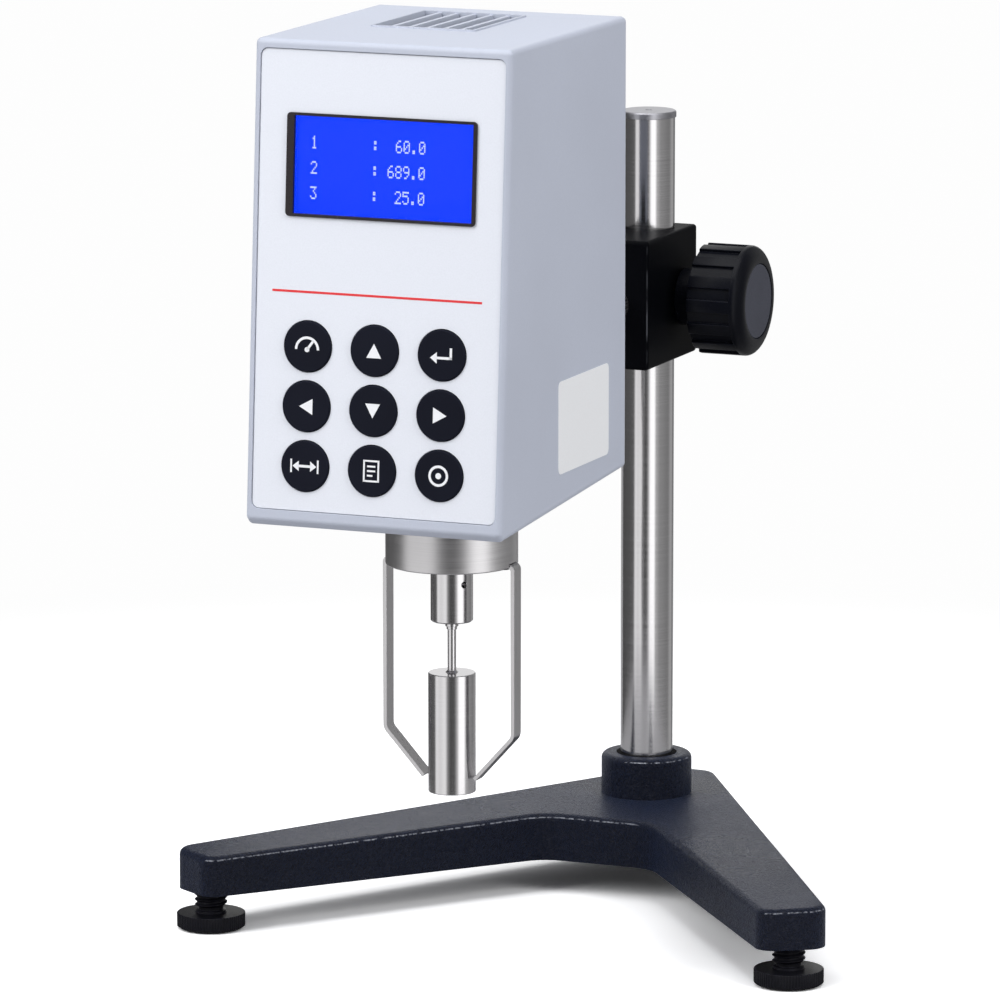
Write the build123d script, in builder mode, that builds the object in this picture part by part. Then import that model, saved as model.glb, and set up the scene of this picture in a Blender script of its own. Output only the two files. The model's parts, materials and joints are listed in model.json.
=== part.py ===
"""Rotational viscometer: a measuring head clamped to a pole that stands in a V-shaped cast base.

Millimetres. The origin lies on the table, midway between the front and the rear of the instrument.
+X is to the operator's right, +Y runs from the operator to the pole, +Z is up.
"""
import os
from math import atan2, cos, hypot, pi, radians, sin

from build123d import *

os.makedirs("parts", exist_ok=True)

# Layout
spindle_y = -91.0            # axis of motor, torsion spring, measuring shaft and rotor
pole_y = 120.0               # axis of the pole
foot_x, foot_y = 126.0, -46.0
rear_foot_y = 155.96

# Base casting: two legs and a rear tail, hollow below
casting_low, casting_high = 12.0, 35.0
tip_top, hub_top = 32.8, 34.0          # height of the upper face at the tips and at the pole
tip_low, hub_low = 16.0, 13.0          # height of the lower edge at the same places
crotch_half, crotch_y = 24.0, 64.5
casting_wall, casting_roof = 7.0, 8.0
pole_boss_r, pole_boss_top = 19.0, 51.0
foot_boss_r = 12.5

# Pole
pole_r, pole_low, pole_top = 11.0, 24.0, 320.5
pole_cap_r, pole_cap_h = 11.5, 2.7
bolt_r, bolt_head_r, bolt_head_h = 4.0, 6.5, 8.0

# Levelling feet
screw_pitch = 1.5
foot_thread_r, foot_neck_r = 6.75, 5.0
foot_disc_r, foot_disc_low, foot_disc_top = 14.0, 0.6, 6.7
foot_neck_top, foot_thread_top = 9.4, 24.0
pad_r, pad_h, pad_pin_r, pad_pin_top = 10.8, 1.3, 2.5, 4.0

# Clamp
clamp_z, clamp_h, clamp_w = 247.2, 53.8, 31.0
knob_z = 245.8                         # axis of the clamp screw
clamp_front_y, clamp_rear_y = pole_y - 40.0, pole_y + 16.5
arm_r = 7.0
screw_r = 4.95
knob_r, knob_back_x, knob_face_x = 23.0, 25.6, 49.3
knob_hub_r, knob_cap_r = 11.9, 16.2
shoulder_l = 4.6                       # length of the knob's round shoulder
flute_count, flute_h = 14, 1.3

# Head housing: its side outline leans back at the front and rises at the bottom
head_w, head_top = 107.0, 382.5
front_low_y, front_top_y, head_rear_y = -170.2, -157.9, -39.6
front_low_z, rear_low_z = 194.0, 202.8
wall, lip = 3.6, 2.5
opening_low, opening_rim = 7.0, 3.6    # rim below and above the front opening

# Front panel, measured along the leaning face from its lower edge
panel_inset, panel_t = 0.5, 2.0
display_s, display_w, display_h = 141.0, 79.0, 40.0
glass_w, glass_h, glass_dx = 75.0, 37.8, 1.1
key_r, key_pitch_x, key_pitch_s, key_mid_s = 9.9, 28.0, 23.2, 47.9
key_dx, key_proud = -0.7, 0.9

# Roof vent
vent_x, vent_y, vent_w, vent_d = -4.6, spindle_y + 8.5, 42.0, 51.0
slot_count, rib_w = 6, 1.7

# Underside of the head
ring_r, ring_bore_r, ring_low, ring_top = 26.2, 18.0, 169.25, 206.0
ring_web_low = 190.0
guard_x, guard_w, guard_t = 27.3, 7.0, 1.5
guard_bend_z, guard_toe_x, guard_toe_z = 101.3, 10.9, 83.2
nut_r, nut_low, nut_top = 8.4, 145.9, 178.0
rotor_r, rotor_low, rotor_top = 9.42, 77.1, 125.2
stem_r, shoulder_r, shoulder_low = 1.7, 2.6, 142.6

# Mechanism inside the head
plate_w, plate_d, plate_t = 88.0, 84.0, 4.0
lower_plate_z, upper_plate_z = 206.0, 292.0
pillar_r, pillar_dx, pillar_dy = 4.0, 36.0, 34.0
motor_r, motor_h = 21.0, 34.0
disc_r, disc_t = 25.0, 1.6
drive_disc_z, encoder_disc_z, spring_z = 274.0, 252.0, 261.0
shaft_r = 2.0
running = 0.05                         # radial clearance of every turning or sliding fit
seam = 0.25                            # gap round fitted panels


def write(piece, name):
    """Label one finished piece and write it as its own STEP file."""
    piece.part.label = name
    export_step(piece.part, f"parts/{name}.step")


# ---------------------------------------------------------------- stand

def base_outline():
    """Plan outline of the casting, every corner rounded."""
    inner_tip = (foot_x - 6.0, foot_y - 16.5)
    outer_tip = (foot_x + 17.2, foot_y - 0.5)
    tail_half, tail_y = 12.0, 168.0
    right = [((crotch_half, crotch_y), 16), (inner_tip, 7), (outer_tip, 9), ((tail_half, tail_y), 9)]
    left = [((-x, y), r) for (x, y), r in reversed(right)]
    corners = right + left
    FilletPolyline(*[p for p, r in corners], radius=[r for p, r in corners], close=True)


def sloped_plane(tip_z, hub_z):
    """Plane through height tip_z at the foot line and hub_z at the pole, facing up."""
    rise = atan2(hub_z - tip_z, pole_y - foot_y)
    return Plane(origin=(0, foot_y, tip_z), x_dir=(1, 0, 0), z_dir=(0, -sin(rise), cos(rise)))


foot_places = {
    "left": (-foot_x, foot_y),
    "right": (foot_x, foot_y),
    "rear": (0.0, rear_foot_y),
}

with BuildPart() as base_casting:
    with BuildSketch(Plane.XY.offset(casting_low)):
        with BuildLine():
            base_outline()
        make_face()
    extrude(amount=casting_high + 1 - casting_low)
    split(bisect_by=sloped_plane(tip_top, hub_top), keep=Keep.BOTTOM)
    split(bisect_by=sloped_plane(tip_low, hub_low), keep=Keep.TOP)
    fillet(base_casting.faces().sort_by(Axis.Z)[-1].edges(), 2.8)
    with BuildSketch(Plane.XY.offset(hub_low + casting_roof)):
        with Locations((0, pole_y)):
            Circle(pole_boss_r)
    extrude(amount=pole_boss_top - hub_low - casting_roof)
    fillet(base_casting.faces().sort_by(Axis.Z)[-1].edges(), 2.5)
    with BuildSketch(Plane.XY.offset(casting_low - 1)):
        with BuildLine():
            base_outline()
        make_face()
        offset(amount=-casting_wall)
        with Locations(*foot_places.values()):
            Circle(foot_boss_r, mode=Mode.SUBTRACT)
        with Locations((0, pole_y)):
            Circle(pole_boss_r, mode=Mode.SUBTRACT)
        with Locations((0, pole_y - 38)):
            Rectangle(5, 50, mode=Mode.SUBTRACT)
    extrude(amount=tip_top - casting_roof - casting_low + 1, mode=Mode.SUBTRACT)
    with Locations(*[(x, y, casting_low - 1) for x, y in foot_places.values()]):
        Cylinder(foot_thread_r + running, foot_thread_top + 5.5 - casting_low,
                 align=(Align.CENTER, Align.CENTER, Align.MIN), mode=Mode.SUBTRACT)
    with Locations((0, pole_y, pole_low)):
        Cylinder(pole_r + running, pole_boss_top, align=(Align.CENTER, Align.CENTER, Align.MIN),
                 mode=Mode.SUBTRACT)
    with Locations((0, pole_y, hub_low - 3)):
        Cylinder(bolt_r + 0.2, pole_low, align=(Align.CENTER, Align.CENTER, Align.MIN), mode=Mode.SUBTRACT)
    with Locations((0, pole_y, hub_low - 3)):
        Cylinder(bolt_head_r + 0.5, 7, align=(Align.CENTER, Align.CENTER, Align.MIN), mode=Mode.SUBTRACT)
write(base_casting, "base_casting")

with BuildPart() as pole:
    with Locations((0, pole_y, pole_low)):
        Cylinder(pole_r, pole_top - pole_low, align=(Align.CENTER, Align.CENTER, Align.MIN))
    chamfer(pole.edges().filter_by(GeomType.CIRCLE).sort_by(Axis.Z)[0], 0.8)
    with Locations((0, pole_y, pole_low)):
        Cylinder(bolt_r + running, 20, align=(Align.CENTER, Align.CENTER, Align.MIN), mode=Mode.SUBTRACT)
    with Locations((0, pole_y, pole_top)):
        Cylinder(6.05, 12, align=(Align.CENTER, Align.CENTER, Align.MAX), mode=Mode.SUBTRACT)
write(pole, "pole")

with BuildPart() as pole_cap:
    with Locations((0, pole_y, pole_top)):
        Cylinder(pole_cap_r, pole_cap_h, align=(Align.CENTER, Align.CENTER, Align.MIN))
    fillet(pole_cap.edges().sort_by(Axis.Z)[-1], 0.8)
    with Locations((0, pole_y, pole_top)):
        Cylinder(6.0, 10, align=(Align.CENTER, Align.CENTER, Align.MAX))
    with Locations((0, pole_y, pole_top + pole_cap_h)):
        Sphere(1.4, mode=Mode.SUBTRACT)
write(pole_cap, "pole_cap")

with BuildPart() as pole_bolt:
    bolt_seat = hub_low + 4
    with Locations((0, pole_y, bolt_seat)):
        Cylinder(bolt_r, pole_low + 16 - bolt_seat, align=(Align.CENTER, Align.CENTER, Align.MIN))
    with Locations((0, pole_y, bolt_seat)):
        Cylinder(bolt_head_r, bolt_head_h - 2.5, align=(Align.CENTER, Align.CENTER, Align.MAX))
    with BuildSketch(Plane.XY.offset(bolt_seat - bolt_head_h + 2.5)):
        with Locations((0, pole_y)):
            RegularPolygon(3.4, 6)
    extrude(amount=3.5, mode=Mode.SUBTRACT)
write(pole_bolt, "pole_bolt")


def foot_screw(x, y):
    """Levelling screw: knurled disc, necked shank and the threaded stud that enters the casting."""
    with BuildPart() as screw:
        with BuildSketch(Plane.XZ):
            with BuildLine():
                Polyline((0, foot_disc_low), (foot_disc_r - 0.8, foot_disc_low),
                         (foot_disc_r, foot_disc_low + 0.8), (foot_disc_r, foot_disc_top - 0.8),
                         (foot_disc_r - 0.8, foot_disc_top), (foot_neck_r + 1.2, foot_disc_top),
                         (foot_neck_r, foot_disc_top + 1), (foot_neck_r, foot_neck_top),
                         (foot_thread_r, foot_neck_top + 0.6), (foot_thread_r, foot_thread_top - 1),
                         (foot_thread_r - 1, foot_thread_top), (0, foot_thread_top), close=True)
            make_face()
        revolve(axis=Axis.Z)
        with PolarLocations(foot_disc_r + 0.45, 36):
            Cylinder(0.8, 2 * foot_disc_top, mode=Mode.SUBTRACT)
        Cylinder(pad_r + 0.3, pad_h + 0.2, align=(Align.CENTER, Align.CENTER, Align.MIN), mode=Mode.SUBTRACT)
        Cylinder(pad_pin_r + running, pad_pin_top + 0.2, align=(Align.CENTER, Align.CENTER, Align.MIN),
                 mode=Mode.SUBTRACT)
    screw.part.locate(Location((x, y, 0)))
    return screw


def foot_pad(x, y):
    """Rubber pad with a pivot pin: it stays still on the table while the screw turns."""
    with BuildPart() as pad:
        Cylinder(pad_r, pad_h, align=(Align.CENTER, Align.CENTER, Align.MIN))
        chamfer(pad.edges().sort_by(Axis.Z)[0], 0.4)
        Cylinder(pad_pin_r, pad_pin_top, align=(Align.CENTER, Align.CENTER, Align.MIN))
    pad.part.locate(Location((x, y, 0)))
    return pad


for side, (x, y) in foot_places.items():
    write(foot_screw(x, y), f"foot_screw_{side}")
    write(foot_pad(x, y), f"foot_pad_{side}")

# ---------------------------------------------------------------- clamp and arm

clamp_low = clamp_z - clamp_h / 2
clamp_depth = clamp_rear_y - clamp_front_y
clamp_half = clamp_w / 2
arm_end_y = clamp_front_y + 25.0
flange_t, flange_side = 6.0, 46.0
bracket_t = 3.0
rear_plane = Plane(origin=(0, head_rear_y, 0), x_dir=(-1, 0, 0), z_dir=(0, 1, 0))
side_plane = Plane(origin=(0, pole_y, knob_z), x_dir=(0, 1, 0), z_dir=(1, 0, 0))

with BuildPart() as clamp_block:
    with Locations((0, (clamp_front_y + clamp_rear_y) / 2, clamp_z)):
        Box(clamp_w, clamp_depth, clamp_h)
    fillet(clamp_block.edges(), 1.5)
    with Locations((0, pole_y, clamp_z)):
        Cylinder(pole_r + running, clamp_h + 2, mode=Mode.SUBTRACT)
    with BuildSketch(side_plane):
        Circle(screw_r + running)
    extrude(amount=clamp_w, mode=Mode.SUBTRACT)
    with BuildSketch(rear_plane.offset(clamp_front_y - head_rear_y)):
        with Locations((0, clamp_z)):
            Circle(arm_r + 0.02)
    extrude(amount=arm_end_y - clamp_front_y + 0.5, mode=Mode.SUBTRACT)
    with Locations((0, clamp_front_y + 9, clamp_low), (0, clamp_front_y + 18, clamp_low)):
        Cylinder(3.0, clamp_h / 2, align=(Align.CENTER, Align.CENTER, Align.MIN), mode=Mode.SUBTRACT)
write(clamp_block, "clamp_block")

with BuildPart() as arm_set_screws:
    with Locations((0, clamp_front_y + 9, clamp_low + 3), (0, clamp_front_y + 18, clamp_low + 3)):
        Cylinder(2.95, clamp_h / 2 - 3 - arm_r, align=(Align.CENTER, Align.CENTER, Align.MIN))
        Cylinder(1.6, 3, align=(Align.CENTER, Align.CENTER, Align.MIN), mode=Mode.SUBTRACT)
write(arm_set_screws, "arm_set_screws")

with BuildPart() as clamp_pad:
    with BuildSketch(side_plane.offset(pole_r + running)):
        Circle(screw_r)
    extrude(amount=5.0)
    with BuildSketch(side_plane.offset(pole_r + running + 5.0)):
        Circle(2.0)
    extrude(amount=3.0)
    chamfer(clamp_pad.edges().sort_by(Axis.X)[0], 0.6)
write(clamp_pad, "clamp_pad")

with BuildPart() as clamp_screw:
    with BuildSketch(side_plane.offset(pole_r + running + 5.1)):
        Circle(screw_r)
    extrude(amount=knob_face_x - 8 - pole_r - running - 5.1)
    with BuildSketch(side_plane.offset(pole_r + running + 5.1)):
        Circle(2.0 + running)
    extrude(amount=3.2, mode=Mode.SUBTRACT)
write(clamp_screw, "clamp_screw")

with BuildPart() as clamp_knob:
    with BuildSketch(Plane.XY):
        with BuildLine():
            Polyline((knob_face_x, knob_cap_r), (knob_face_x, 0), (clamp_half + 0.5, 0),
                     (clamp_half + 0.5, knob_hub_r), (knob_back_x, knob_hub_r),
                     (knob_back_x, knob_r - 0.8), (knob_back_x + 0.8, knob_r),
                     (knob_face_x - shoulder_l, knob_r))
            EllipticalCenterArc((knob_face_x - shoulder_l, knob_cap_r), shoulder_l, knob_r - knob_cap_r)
        make_face()
    revolve(axis=Axis.X)
    with BuildSketch(Plane.YZ.offset(knob_back_x - 1)):
        with PolarLocations(knob_r, flute_count):
            Rectangle(2 * flute_h, pi * knob_r / flute_count)
    extrude(amount=knob_face_x - shoulder_l - knob_back_x + 0.6, mode=Mode.SUBTRACT)
    with BuildSketch(Plane.YZ.offset(knob_face_x)):
        Circle(knob_cap_r - 0.5)
    extrude(amount=-2.0, mode=Mode.SUBTRACT)
    with BuildSketch(Plane.YZ):
        Circle(screw_r)
    extrude(amount=knob_face_x - 8, mode=Mode.SUBTRACT)
clamp_knob.part.locate(Location((0, pole_y, knob_z)))
write(clamp_knob, "clamp_knob")

with BuildPart() as knob_cap:
    with BuildSketch(side_plane.offset(knob_face_x - 2.0)):
        Circle(knob_cap_r - 0.6)
    extrude(amount=1.8)
    chamfer(knob_cap.edges().sort_by(Axis.X)[-1], 0.4)
write(knob_cap, "knob_cap")

with BuildPart() as arm_rod:
    with BuildSketch(rear_plane.offset(flange_t)):
        with Locations((0, clamp_z)):
            Circle(arm_r)
    extrude(amount=arm_end_y - head_rear_y - flange_t)
    chamfer(arm_rod.edges().sort_by(Axis.Y)[-1], 0.8)
    with BuildSketch(rear_plane):
        with Locations((0, clamp_z)):
            Circle(arm_r - 1)
    extrude(amount=flange_t)
write(arm_rod, "arm_rod")

with BuildPart() as arm_flange:
    with BuildSketch(rear_plane.offset(0.02)):
        with Locations((0, clamp_z)):
            RectangleRounded(flange_side, flange_side, 5)
            Circle(arm_r - 1, mode=Mode.SUBTRACT)
            with GridLocations(flange_side - 13, flange_side - 13, 2, 2):
                Circle(2.75, mode=Mode.SUBTRACT)
    extrude(amount=flange_t - 0.02)
    chamfer(arm_flange.faces().sort_by(Axis.Y)[-1].outer_wire().edges(), 0.8)
write(arm_flange, "arm_flange")

with BuildPart() as flange_screws:
    with BuildSketch(rear_plane.offset(flange_t)):
        with Locations((0, clamp_z)):
            with GridLocations(flange_side - 13, flange_side - 13, 2, 2):
                Circle(4.25)
    extrude(amount=4.0)
    chamfer(flange_screws.faces().sort_by(Axis.Y)[-4:].edges(), 0.4)
    with BuildSketch(rear_plane.offset(flange_t + 4.0)):
        with Locations((0, clamp_z)):
            with GridLocations(flange_side - 13, flange_side - 13, 2, 2):
                RegularPolygon(2.3, 6)
    extrude(amount=-2.2, mode=Mode.SUBTRACT)
    with BuildSketch(rear_plane.offset(flange_t)):
        with Locations((0, clamp_z)):
            with GridLocations(flange_side - 13, flange_side - 13, 2, 2):
                Circle(2.45)
    extrude(amount=-flange_t - panel_t - bracket_t - 1)
write(flange_screws, "flange_screws")

# ---------------------------------------------------------------- head housing

lean = atan2(front_top_y - front_low_y, head_top - front_low_z)
face_h = hypot(front_top_y - front_low_y, head_top - front_low_z)
front_plane = Plane(origin=(0, front_low_y, front_low_z), x_dir=(1, 0, 0), z_dir=(0, -cos(lean), sin(lean)))
panel_plane = front_plane.offset(-panel_inset)
opening_w = head_w - 2 * lip
opening_h = face_h - opening_low - opening_rim
opening_s = opening_low + opening_h / 2
rear_opening_low = rear_low_z + 3.6
rear_opening_h = head_top - 3.6 - rear_opening_low
rear_opening_z = rear_opening_low + rear_opening_h / 2
side_corners = [(front_low_y, front_low_z), (head_rear_y, rear_low_z), (head_rear_y, head_top),
                (front_top_y, head_top)]

with BuildPart() as housing_shell:
    with BuildSketch(Plane.YZ):
        with BuildLine():
            Polyline(*side_corners, close=True)
        make_face()
    extrude(amount=head_w / 2, both=True)
    front_edges = housing_shell.edges().filter_by(Axis.X).sort_by(Axis.Y)
    chamfer(front_edges[0], 3.0)
    fillet(housing_shell.edges(), 2.2)
    with BuildSketch(Plane.YZ):
        with BuildLine():
            Polyline(*side_corners, close=True)
        make_face()
        offset(amount=-wall, kind=Kind.INTERSECTION)
    extrude(amount=head_w / 2 - wall, both=True, mode=Mode.SUBTRACT)
    with BuildSketch(front_plane):
        with Locations((0, opening_s)):
            RectangleRounded(opening_w, opening_h, 3)
    extrude(amount=-panel_inset - panel_t, mode=Mode.SUBTRACT)
    with BuildSketch(front_plane):
        with Locations((0, opening_s)):
            Rectangle(opening_w - 2, opening_h - 4)
    extrude(amount=-2 * wall, mode=Mode.SUBTRACT)
    with BuildSketch(rear_plane):
        with Locations((0, rear_opening_z)):
            RectangleRounded(opening_w, rear_opening_h, 3)
    extrude(amount=-panel_t, mode=Mode.SUBTRACT)
    with BuildSketch(rear_plane):
        with Locations((0, rear_opening_z)):
            Rectangle(opening_w - 2.2, rear_opening_h - 4)
    extrude(amount=-2 * wall, mode=Mode.SUBTRACT)
    with BuildSketch(Plane.XY.offset(front_low_z)):
        with Locations((0, spindle_y)):
            Circle(ring_r + 0.3)
    extrude(amount=20, mode=Mode.SUBTRACT)
    vent_plane = Plane.XY.offset(head_top)
    with BuildSketch(vent_plane):
        with Locations((vent_x, vent_y)):
            RectangleRounded(vent_w + 2.4, vent_d + 2.4, 1.5)
            Rectangle(vent_w, vent_d, mode=Mode.SUBTRACT)
    extrude(amount=0.6)
    slot_pitch = (vent_w + rib_w) / slot_count
    with BuildSketch(vent_plane.offset(-wall - 1)):
        with Locations((vent_x, vent_y)):
            with GridLocations(slot_pitch, 1, slot_count, 1):
                Rectangle(slot_pitch - rib_w, vent_d)
    extrude(amount=wall + 2, mode=Mode.SUBTRACT)
write(housing_shell, "housing_shell")

key_names = ["speed", "up", "enter", "left", "down", "right", "range", "print", "set"]
key_places = {}
for index, key_name in enumerate(key_names):
    row, column = divmod(index, 3)
    key_places[key_name] = (key_dx + (column - 1) * key_pitch_x, key_mid_s + (1 - row) * key_pitch_s)

with BuildPart() as front_panel:
    with BuildSketch(panel_plane):
        with Locations((0, opening_s)):
            RectangleRounded(opening_w - 2 * seam, opening_h - 2 * seam, 2.75)
        with Locations((0.3, display_s)):
            Rectangle(glass_w + 2.4, glass_h + 1.6, mode=Mode.SUBTRACT)
        with Locations(*key_places.values()):
            Circle(key_r + 0.3, mode=Mode.SUBTRACT)
    extrude(amount=-panel_t)
write(front_panel, "front_panel")

with BuildPart() as display_bezel:
    with BuildSketch(panel_plane):
        with Locations((0.3, display_s)):
            RectangleRounded(display_w, display_h, 1.6)
    extrude(amount=0.8)
    with BuildSketch(panel_plane):
        with Locations((0.3, display_s)):
            Rectangle(glass_w + 2.2, glass_h + 1.4)
    extrude(amount=-panel_t)
    with BuildSketch(panel_plane.offset(0.8)):
        with Locations((glass_dx, display_s)):
            Rectangle(glass_w - 0.6, glass_h)
    extrude(amount=-panel_t - 1, mode=Mode.SUBTRACT)
write(display_bezel, "display_bezel")

with BuildPart() as display_window:
    with BuildSketch(panel_plane.offset(-0.3)):
        with Locations((glass_dx, display_s)):
            Rectangle(glass_w - 0.8, glass_h - 0.2)
    extrude(amount=-1.0)
write(display_window, "display_window")

with BuildPart() as display_module:
    with BuildSketch(panel_plane.offset(-panel_t - 0.2)):
        with Locations((glass_dx, display_s)):
            Rectangle(glass_w + 4, glass_h + 5)
    extrude(amount=-5.0)
    with BuildSketch(panel_plane.offset(-panel_t - 5.2)):
        with Locations((0, display_s)):
            Rectangle(92, 56)
            with GridLocations(86, 50, 2, 2):
                Circle(1.4, mode=Mode.SUBTRACT)
    extrude(amount=-1.6)
write(display_module, "display_module")


def key(u, s):
    """Round key cap: face, retaining flange behind the panel and the plunger over its switch."""
    with BuildPart() as cap:
        with BuildSketch(panel_plane.offset(key_proud)):
            with Locations((u, s)):
                Circle(key_r)
        extrude(amount=-key_proud - panel_t - 0.6)
        chamfer(cap.edges().filter_by(GeomType.CIRCLE).sort_by(Axis.Y)[0], 0.35)
        with BuildSketch(panel_plane.offset(-panel_t - 0.1)):
            with Locations((u, s)):
                Circle(key_r + 1.3)
        extrude(amount=-0.9)
        with BuildSketch(panel_plane.offset(-panel_t - 1.0)):
            with Locations((u, s)):
                Circle(2.5)
        extrude(amount=-3.0)
    return cap


for key_name, (u, s) in key_places.items():
    write(key(u, s), f"key_{key_name}")

with BuildPart() as key_board:
    with BuildSketch(panel_plane.offset(-9.0)):
        with Locations((0, key_mid_s)):
            Rectangle(92, 74)
    extrude(amount=-1.6)
    with BuildSketch(panel_plane.offset(-9.0)):
        with Locations(*key_places.values()):
            Rectangle(6.2, 6.2)
    extrude(amount=1.0)
    with BuildSketch(panel_plane.offset(-8.0)):
        with Locations(*key_places.values()):
            Circle(1.8)
    extrude(amount=1.0)
write(key_board, "key_board")

# ---------------------------------------------------------------- rear panel and its fittings

inlet_place, switch_place = (27.0, 352.0), (-27.0, 352.0)
port_place, probe_place = (-22.0, 318.0), (27.0, 318.0)
inlet_w, inlet_h = 27.0, 19.8
switch_w, switch_h = 13.0, 19.5
port_w, port_h = 17.0, 9.0
probe_r = 7.9

with BuildPart() as rear_panel:
    with BuildSketch(rear_plane):
        with Locations((0, rear_opening_z)):
            RectangleRounded(opening_w - 2 * seam, rear_opening_h - 2 * seam, 2.75)
        with Locations(inlet_place):
            Rectangle(inlet_w + 0.4, inlet_h + 0.4, mode=Mode.SUBTRACT)
        with Locations(switch_place):
            Rectangle(switch_w + 0.4, switch_h + 0.4, mode=Mode.SUBTRACT)
        with Locations(port_place):
            Rectangle(port_w + 0.4, port_h + 0.4, mode=Mode.SUBTRACT)
        with Locations(probe_place):
            Circle(probe_r + 0.2, mode=Mode.SUBTRACT)
        with Locations((0, clamp_z)):
            with GridLocations(flange_side - 13, flange_side - 13, 2, 2):
                Circle(2.75, mode=Mode.SUBTRACT)
    extrude(amount=-panel_t)
write(rear_panel, "rear_panel")

with BuildPart() as power_inlet:
    with BuildSketch(rear_plane):
        with Locations(inlet_place):
            RectangleRounded(inlet_w + 5, inlet_h + 5, 2)
    extrude(amount=2.0)
    with BuildSketch(rear_plane):
        with Locations(inlet_place):
            Rectangle(inlet_w, inlet_h)
    extrude(amount=-20)
    with BuildSketch(rear_plane.offset(2.0)):
        with Locations(inlet_place):
            RectangleRounded(inlet_w - 4, inlet_h - 4, 3)
    extrude(amount=-16, mode=Mode.SUBTRACT)
    pin_pitch, pin_rise = 7.0, 2.0
    with BuildSketch(rear_plane.offset(-14)):
        with Locations((inlet_place[0] - pin_pitch, inlet_place[1] - pin_rise),
                       (inlet_place[0], inlet_place[1] + pin_rise),
                       (inlet_place[0] + pin_pitch, inlet_place[1] - pin_rise)):
            Rectangle(2, 4)
    extrude(amount=10)
write(power_inlet, "power_inlet")

with BuildPart() as switch_frame:
    with BuildSketch(rear_plane):
        with Locations(switch_place):
            RectangleRounded(switch_w + 3, switch_h + 3, 1.5)
    extrude(amount=1.6)
    with BuildSketch(rear_plane):
        with Locations(switch_place):
            Rectangle(switch_w, switch_h)
    extrude(amount=-16)
    with BuildSketch(rear_plane.offset(1.6)):
        with Locations(switch_place):
            Rectangle(switch_w - 3, switch_h - 3)
    extrude(amount=-14, mode=Mode.SUBTRACT)
write(switch_frame, "switch_frame")

rocker_w, rocker_h, rocker_tilt = switch_w - 3.8, switch_h - 5.4, 10.0
rocker_axis = (-switch_place[0], head_rear_y - 1.0, switch_place[1])

with BuildPart() as switch_rocker:
    tilt = radians(rocker_tilt)
    with BuildSketch(Plane(origin=rocker_axis, x_dir=(0, cos(tilt), -sin(tilt)), z_dir=(1, 0, 0))):
        with BuildLine():
            Polyline((-4, 0), (-0.6, rocker_h / 2 - 0.6), (3.1, rocker_h / 2 - 0.9), (1.7, 0),
                     (3.1, -rocker_h / 2 + 0.9), (-0.6, -rocker_h / 2 + 0.6), close=True)
        make_face()
    extrude(amount=rocker_w / 2, both=True)
write(switch_rocker, "switch_rocker")

with BuildPart() as data_port:
    with BuildSketch(rear_plane):
        with Locations(port_place):
            RectangleRounded(31, 12.5, 1.5)
            with GridLocations(25, 1, 2, 1):
                Circle(1.5, mode=Mode.SUBTRACT)
    extrude(amount=0.8)
    with BuildSketch(rear_plane):
        with Locations(port_place):
            Trapezoid(port_w, port_h, 80)
    extrude(amount=5.5)
    with BuildSketch(rear_plane):
        with Locations(port_place):
            Rectangle(port_w, port_h)
    extrude(amount=-9)
    with BuildSketch(rear_plane.offset(5.5)):
        with Locations(port_place):
            Trapezoid(port_w - 1.6, port_h - 1.6, 80)
    extrude(amount=-5.5, mode=Mode.SUBTRACT)
write(data_port, "data_port")

with BuildPart() as probe_socket:
    with BuildSketch(rear_plane):
        with Locations(probe_place):
            Circle(probe_r + 2)
    extrude(amount=2.2)
    chamfer(probe_socket.edges().sort_by(Axis.Y)[-1], 0.6)
    with BuildSketch(rear_plane):
        with Locations(probe_place):
            Circle(probe_r)
    extrude(amount=-14)
    with BuildSketch(rear_plane.offset(2.2)):
        with Locations(probe_place):
            Circle(probe_r - 1.6)
    extrude(amount=-9, mode=Mode.SUBTRACT)
    with BuildSketch(rear_plane.offset(-6.8)):
        with Locations(probe_place):
            with PolarLocations(3.4, 5, start_angle=-18):
                Circle(0.6)
    extrude(amount=4)
write(probe_socket, "probe_socket")

# ---------------------------------------------------------------- mechanism inside the head

pillar_places = [(dx, spindle_y + dy) for dx in (-pillar_dx, pillar_dx) for dy in (-pillar_dy, pillar_dy)]

with BuildPart() as lower_plate:
    with BuildSketch(Plane.XY.offset(lower_plate_z)):
        with Locations((0, spindle_y)):
            RectangleRounded(plate_w, plate_d, 4)
            Circle(8.0, mode=Mode.SUBTRACT)
    extrude(amount=plate_t)
write(lower_plate, "lower_plate")

with BuildPart() as upper_plate:
    with BuildSketch(Plane.XY.offset(upper_plate_z)):
        with Locations((0, spindle_y)):
            RectangleRounded(plate_w, plate_d, 4)
            Circle(7.0, mode=Mode.SUBTRACT)
    extrude(amount=plate_t)
write(upper_plate, "upper_plate")

with BuildPart() as pillars:
    with Locations(*[(x, y, lower_plate_z + plate_t) for x, y in pillar_places]):
        Cylinder(pillar_r, upper_plate_z - lower_plate_z - plate_t,
                 align=(Align.CENTER, Align.CENTER, Align.MIN))
write(pillars, "pillars")

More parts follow.
